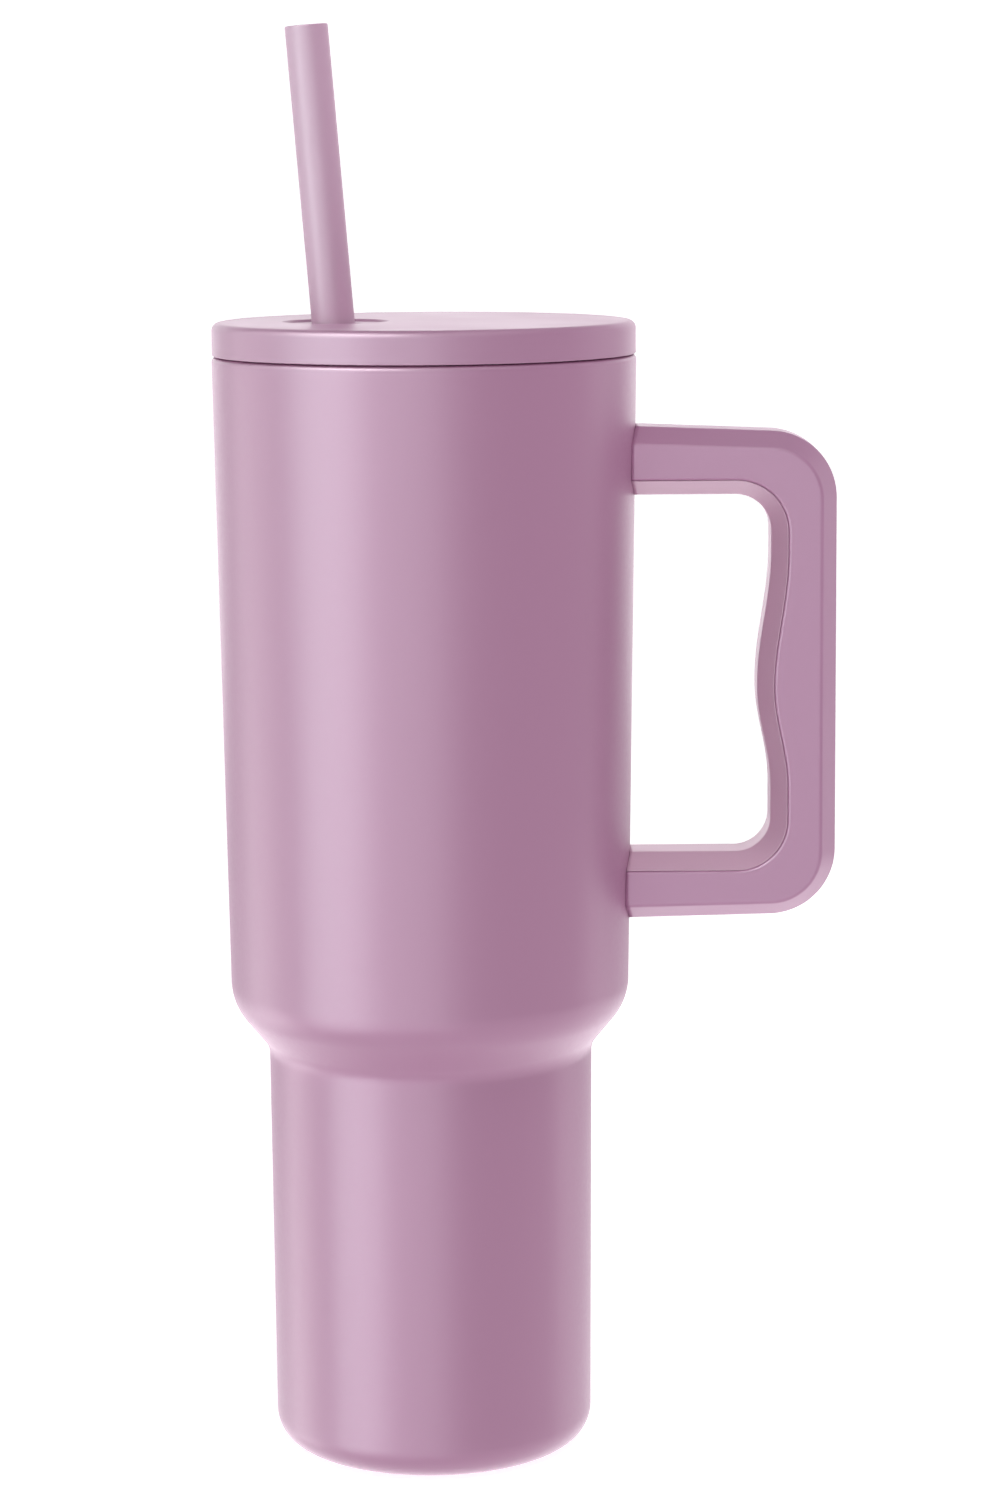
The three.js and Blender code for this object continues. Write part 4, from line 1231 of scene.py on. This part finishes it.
@dataclass
class Studio:
    """Floor, backdrop, lights and camera."""

    distance: float = 928.7
    camera_x: float = 17.0
    camera_z: float = 310.4
    pitch: float = 0.153
    roll: float = -0.007
    focal_share: float = 3984.7 / 1500  # focal length over the frame's long side
    sensor: float = 36.0
    green: str = "#E8FFF6"  # a faint cast of two sheets, which takes some red out of the shine
    sheet_bend: float = 900.0  # radius of the curve between floor and wall
    sheet_back: float = 2600.0
    sheet_reach: float = 9000.0  # half the sheet's width, and how far it runs to the front
    sheet_tall: float = 3600.0
    sheet_glow: float = 0.7
    sheet_low: float = 0.05  # how far the floor lies under the vessel's foot

    def backdrop(self) -> None:
        """Makes the floor and the wall behind it: one sheet that runs back and curves up.

        The sheet goes straight back from the front, then follows a quarter circle up into the
        wall; each point of that outline is drawn out along X.
        """
        bend, back, reach = self.sheet_bend, self.sheet_back, self.sheet_reach
        turn = np.radians(np.linspace(-90, 0, 25))
        curve = np.stack([back - bend + bend * np.cos(turn), bend + bend * np.sin(turn)], 1)
        line = np.concatenate([[[-reach, 0.0]], curve, [[back, self.sheet_tall]]])
        x = np.linspace(-reach, reach, 3)[None, :]
        parts = (x, line[:, :1], line[:, 1:] - self.sheet_low)
        grid = np.stack([np.broadcast_to(part, (len(line), 3)) for part in parts], axis=2)
        recipe = Recipe("studio_paper")
        inputs = {"Color": linear("#FFFFFF"), "Strength": self.sheet_glow}
        glow = add_node(recipe.tree, "ShaderNodeEmission", None, inputs).outputs[0]
        inputs = {"Color": linear("#F4F4F4")}
        paper = add_node(recipe.tree, "ShaderNodeBsdfDiffuse", None, inputs).outputs[0]
        both = add_node(recipe.tree, "ShaderNodeAddShader", None, {0: glow, 1: paper})
        recipe.tree.links.new(both.outputs[0], recipe.out.inputs["Surface"])
        sheet = skin("studio_sheet", grid, recipe.material, wrap_rows=False, wrap_columns=False)
        sheet.visible_diffuse = False
        sheet.visible_glossy = False

    def lights(self) -> None:
        """Hangs tall sheets mirrored on the left and in front, one over the lid and one behind it,
        then a weak edge light on the right and a fill from above."""
        both = Duty.BOTH
        for box in (
            Softbox("tall_sheet_left", -52, 0, 1400, 1100, 2200, 76.0, tint=self.green),
            Softbox("front_sheet", -6, 0, 1400, 900, 2200, 25.0, tint=self.green),
            Softbox("side_sheet_left", -105, 0, 1400, 900, 2200, 25.0),
            Softbox("high_sheet_left", -50, 50, 1500, 1300, 600, 55.0),
            Softbox("back_sheet", 180, 12, 1600, 3000, 1200, 19.0),
            Softbox("edge_right", 110, 5, 1400, 400, 1600, 3.0, both),
            Softbox("top_fill", 35, 62, 1400, 1000, 1000, 6.0, both),
        ):
            box.hang()

    def room(self) -> None:
        """Makes the room: pale walls over a table that is brighter than they are.

        The brightness goes from a low to a high level by a smooth step over the height of the way
        that is looked along. Mirrored light has a step of its own, which is strongest close to the
        vessel's foot. Seen directly, the room is as white as the sheet.
        """
        world = bpy.data.worlds.new("studio_room")
        bpy.context.scene.world = world
        world.use_nodes = True
        tree = world.node_tree
        tree.nodes.clear()
        way = add_node(tree, "ShaderNodeTexCoord").outputs["Generated"]
        rise = add_node(tree, "ShaderNodeSeparateXYZ", None, {"Vector": way}).outputs["Z"]
        levels = []
        for low_z, high_z, low, high in ((-0.3, 0.3, 0.86, 0.38), (-0.45, -0.1, 2.9, 0.62)):
            limits = {"From Min": low_z, "From Max": high_z, "To Min": low, "To Max": high}
            smooth = {"interpolation_type": "SMOOTHSTEP"}
            level = add_node(tree, "ShaderNodeMapRange", smooth, {"Value": rise, **limits})
            levels.append(level.outputs["Result"])
        ray = add_node(tree, "ShaderNodeLightPath").outputs
        inputs = {"Factor": ray["Is Glossy Ray"], "A": levels[0], "B": levels[1]}
        both = add_node(tree, "ShaderNodeMix", None, inputs).outputs["Result"]
        inputs = {"Factor": ray["Is Camera Ray"], "A": both, "B": 1.1}
        strength = add_node(tree, "ShaderNodeMix", None, inputs).outputs["Result"]
        inputs = {"Color": linear("#FAF8FA"), "Strength": strength}
        glow = add_node(tree, "ShaderNodeBackground", None, inputs)
        out = add_node(tree, "ShaderNodeOutputWorld")
        tree.links.new(glow.outputs[0], out.inputs["Surface"])

    def camera(self) -> None:
        """Sets the camera: level with the lid, a little right of the axis and tipped down."""
        data = bpy.data.cameras.new("camera")
        data.sensor_width = self.sensor
        data.lens = self.focal_share * self.sensor
        data.clip_end = 30.0
        camera = bpy.data.objects.new("camera", data)
        bpy.context.scene.collection.objects.link(camera)
        tip = Matrix.Rotation(math.pi / 2 - self.pitch, 4, "X")
        spin = Matrix.Rotation(self.roll, 4, "Z")
        place = Matrix.Translation(Vector((self.camera_x, -self.distance, self.camera_z)) * MM)
        camera.matrix_world = place @ tip @ spin
        bpy.context.scene.camera = camera
        bpy.context.scene.view_settings.view_transform = "Standard"


# ---------------------------------------------------------------- assembly


def dress(node: str, material: bpy.types.Material, frame: dict[str, Any]) -> None:
    """Gives a carried-over node its finish and logs it.

    Args:
        node: Name of the node.
        material: The finish.
    """
    piece = frame["nodes"][node]
    piece.data.materials.clear()
    piece.data.materials.append(material)
    LOG.info("%s dressed as %s", node, material.name)


def main(frame: dict[str, Any]) -> None:
    """Builds the tumbler piece by piece, then the studio round it.
    """
    coat = PowderCoat().material()
    handle_plastic = MouldedPolypropylene("moulded_polypropylene_handle", "#B885A7").material()
    # Painted light: the insert's plastic is given a lighter tone than the channel's, to stand in for
    # the light that falls on its left-facing inner bevels.
    insert_plastic_painted_lit = MouldedPolypropylene("moulded_polypropylene_insert_painted_lit", "#D8B2C8").material()
    lid_plastic = MouldedPolypropylene("moulded_polypropylene_lid", "#B685A5").material()
    liner_steel = StainlessSteel("drawn_liner_steel", Grain.DRAWN).material()
    base_steel = StainlessSteel("spun_base_steel", Grain.SPUN).material()
    plain_steel = StainlessSteel("rolled_bracket_steel", Grain.ROLLED, roughness=0.35).material()
    silicone = LiquidSilicone().material()

    vessel = Vessel()
    vessel.shell(coat)
    vessel.liner(liner_steel)
    vessel.base(base_steel)

    handle = Handle(vessel)
    handle.frame(handle_plastic)
    handle.insert(insert_plastic_painted_lit)

    lid = Lid()
    lid.cover(lid_plastic)
    lid.plug(lid_plastic)
    lid.gasket(silicone)

    straw = DrinkingStraw()
    straw.tube(ExtrudedTube().material())
    straw.bush(silicone)

    foil = HiddenMaterial("rolled_foil", "#C9CBCE", 1.0, 0.22, 6.0, 0.12).material()
    bead = HiddenMaterial("fused_solder_glass", "#59615C", 0.0, 0.12, 1.5, 0.02).material()
    getter = HiddenMaterial("pressed_getter_powder", "#4F4F54", 0.4, 0.8, 0.4, 0.05).material()
    for node in ("upper_bracket", "lower_bracket", "upper_screw", "lower_screw", "getter_holder"):
        dress(node, plain_steel, frame)
    dress("radiation_foil", foil, frame)
    dress("seal_bead", bead, frame)
    dress("getter_pill", getter, frame)

    studio = Studio()
    studio.backdrop()
    studio.lights()
    studio.room()
    studio.camera()


if __name__ == "__main__":
    logging.basicConfig(level=logging.INFO, format="%(name)s: %(message)s")
    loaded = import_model()
    main(loaded)
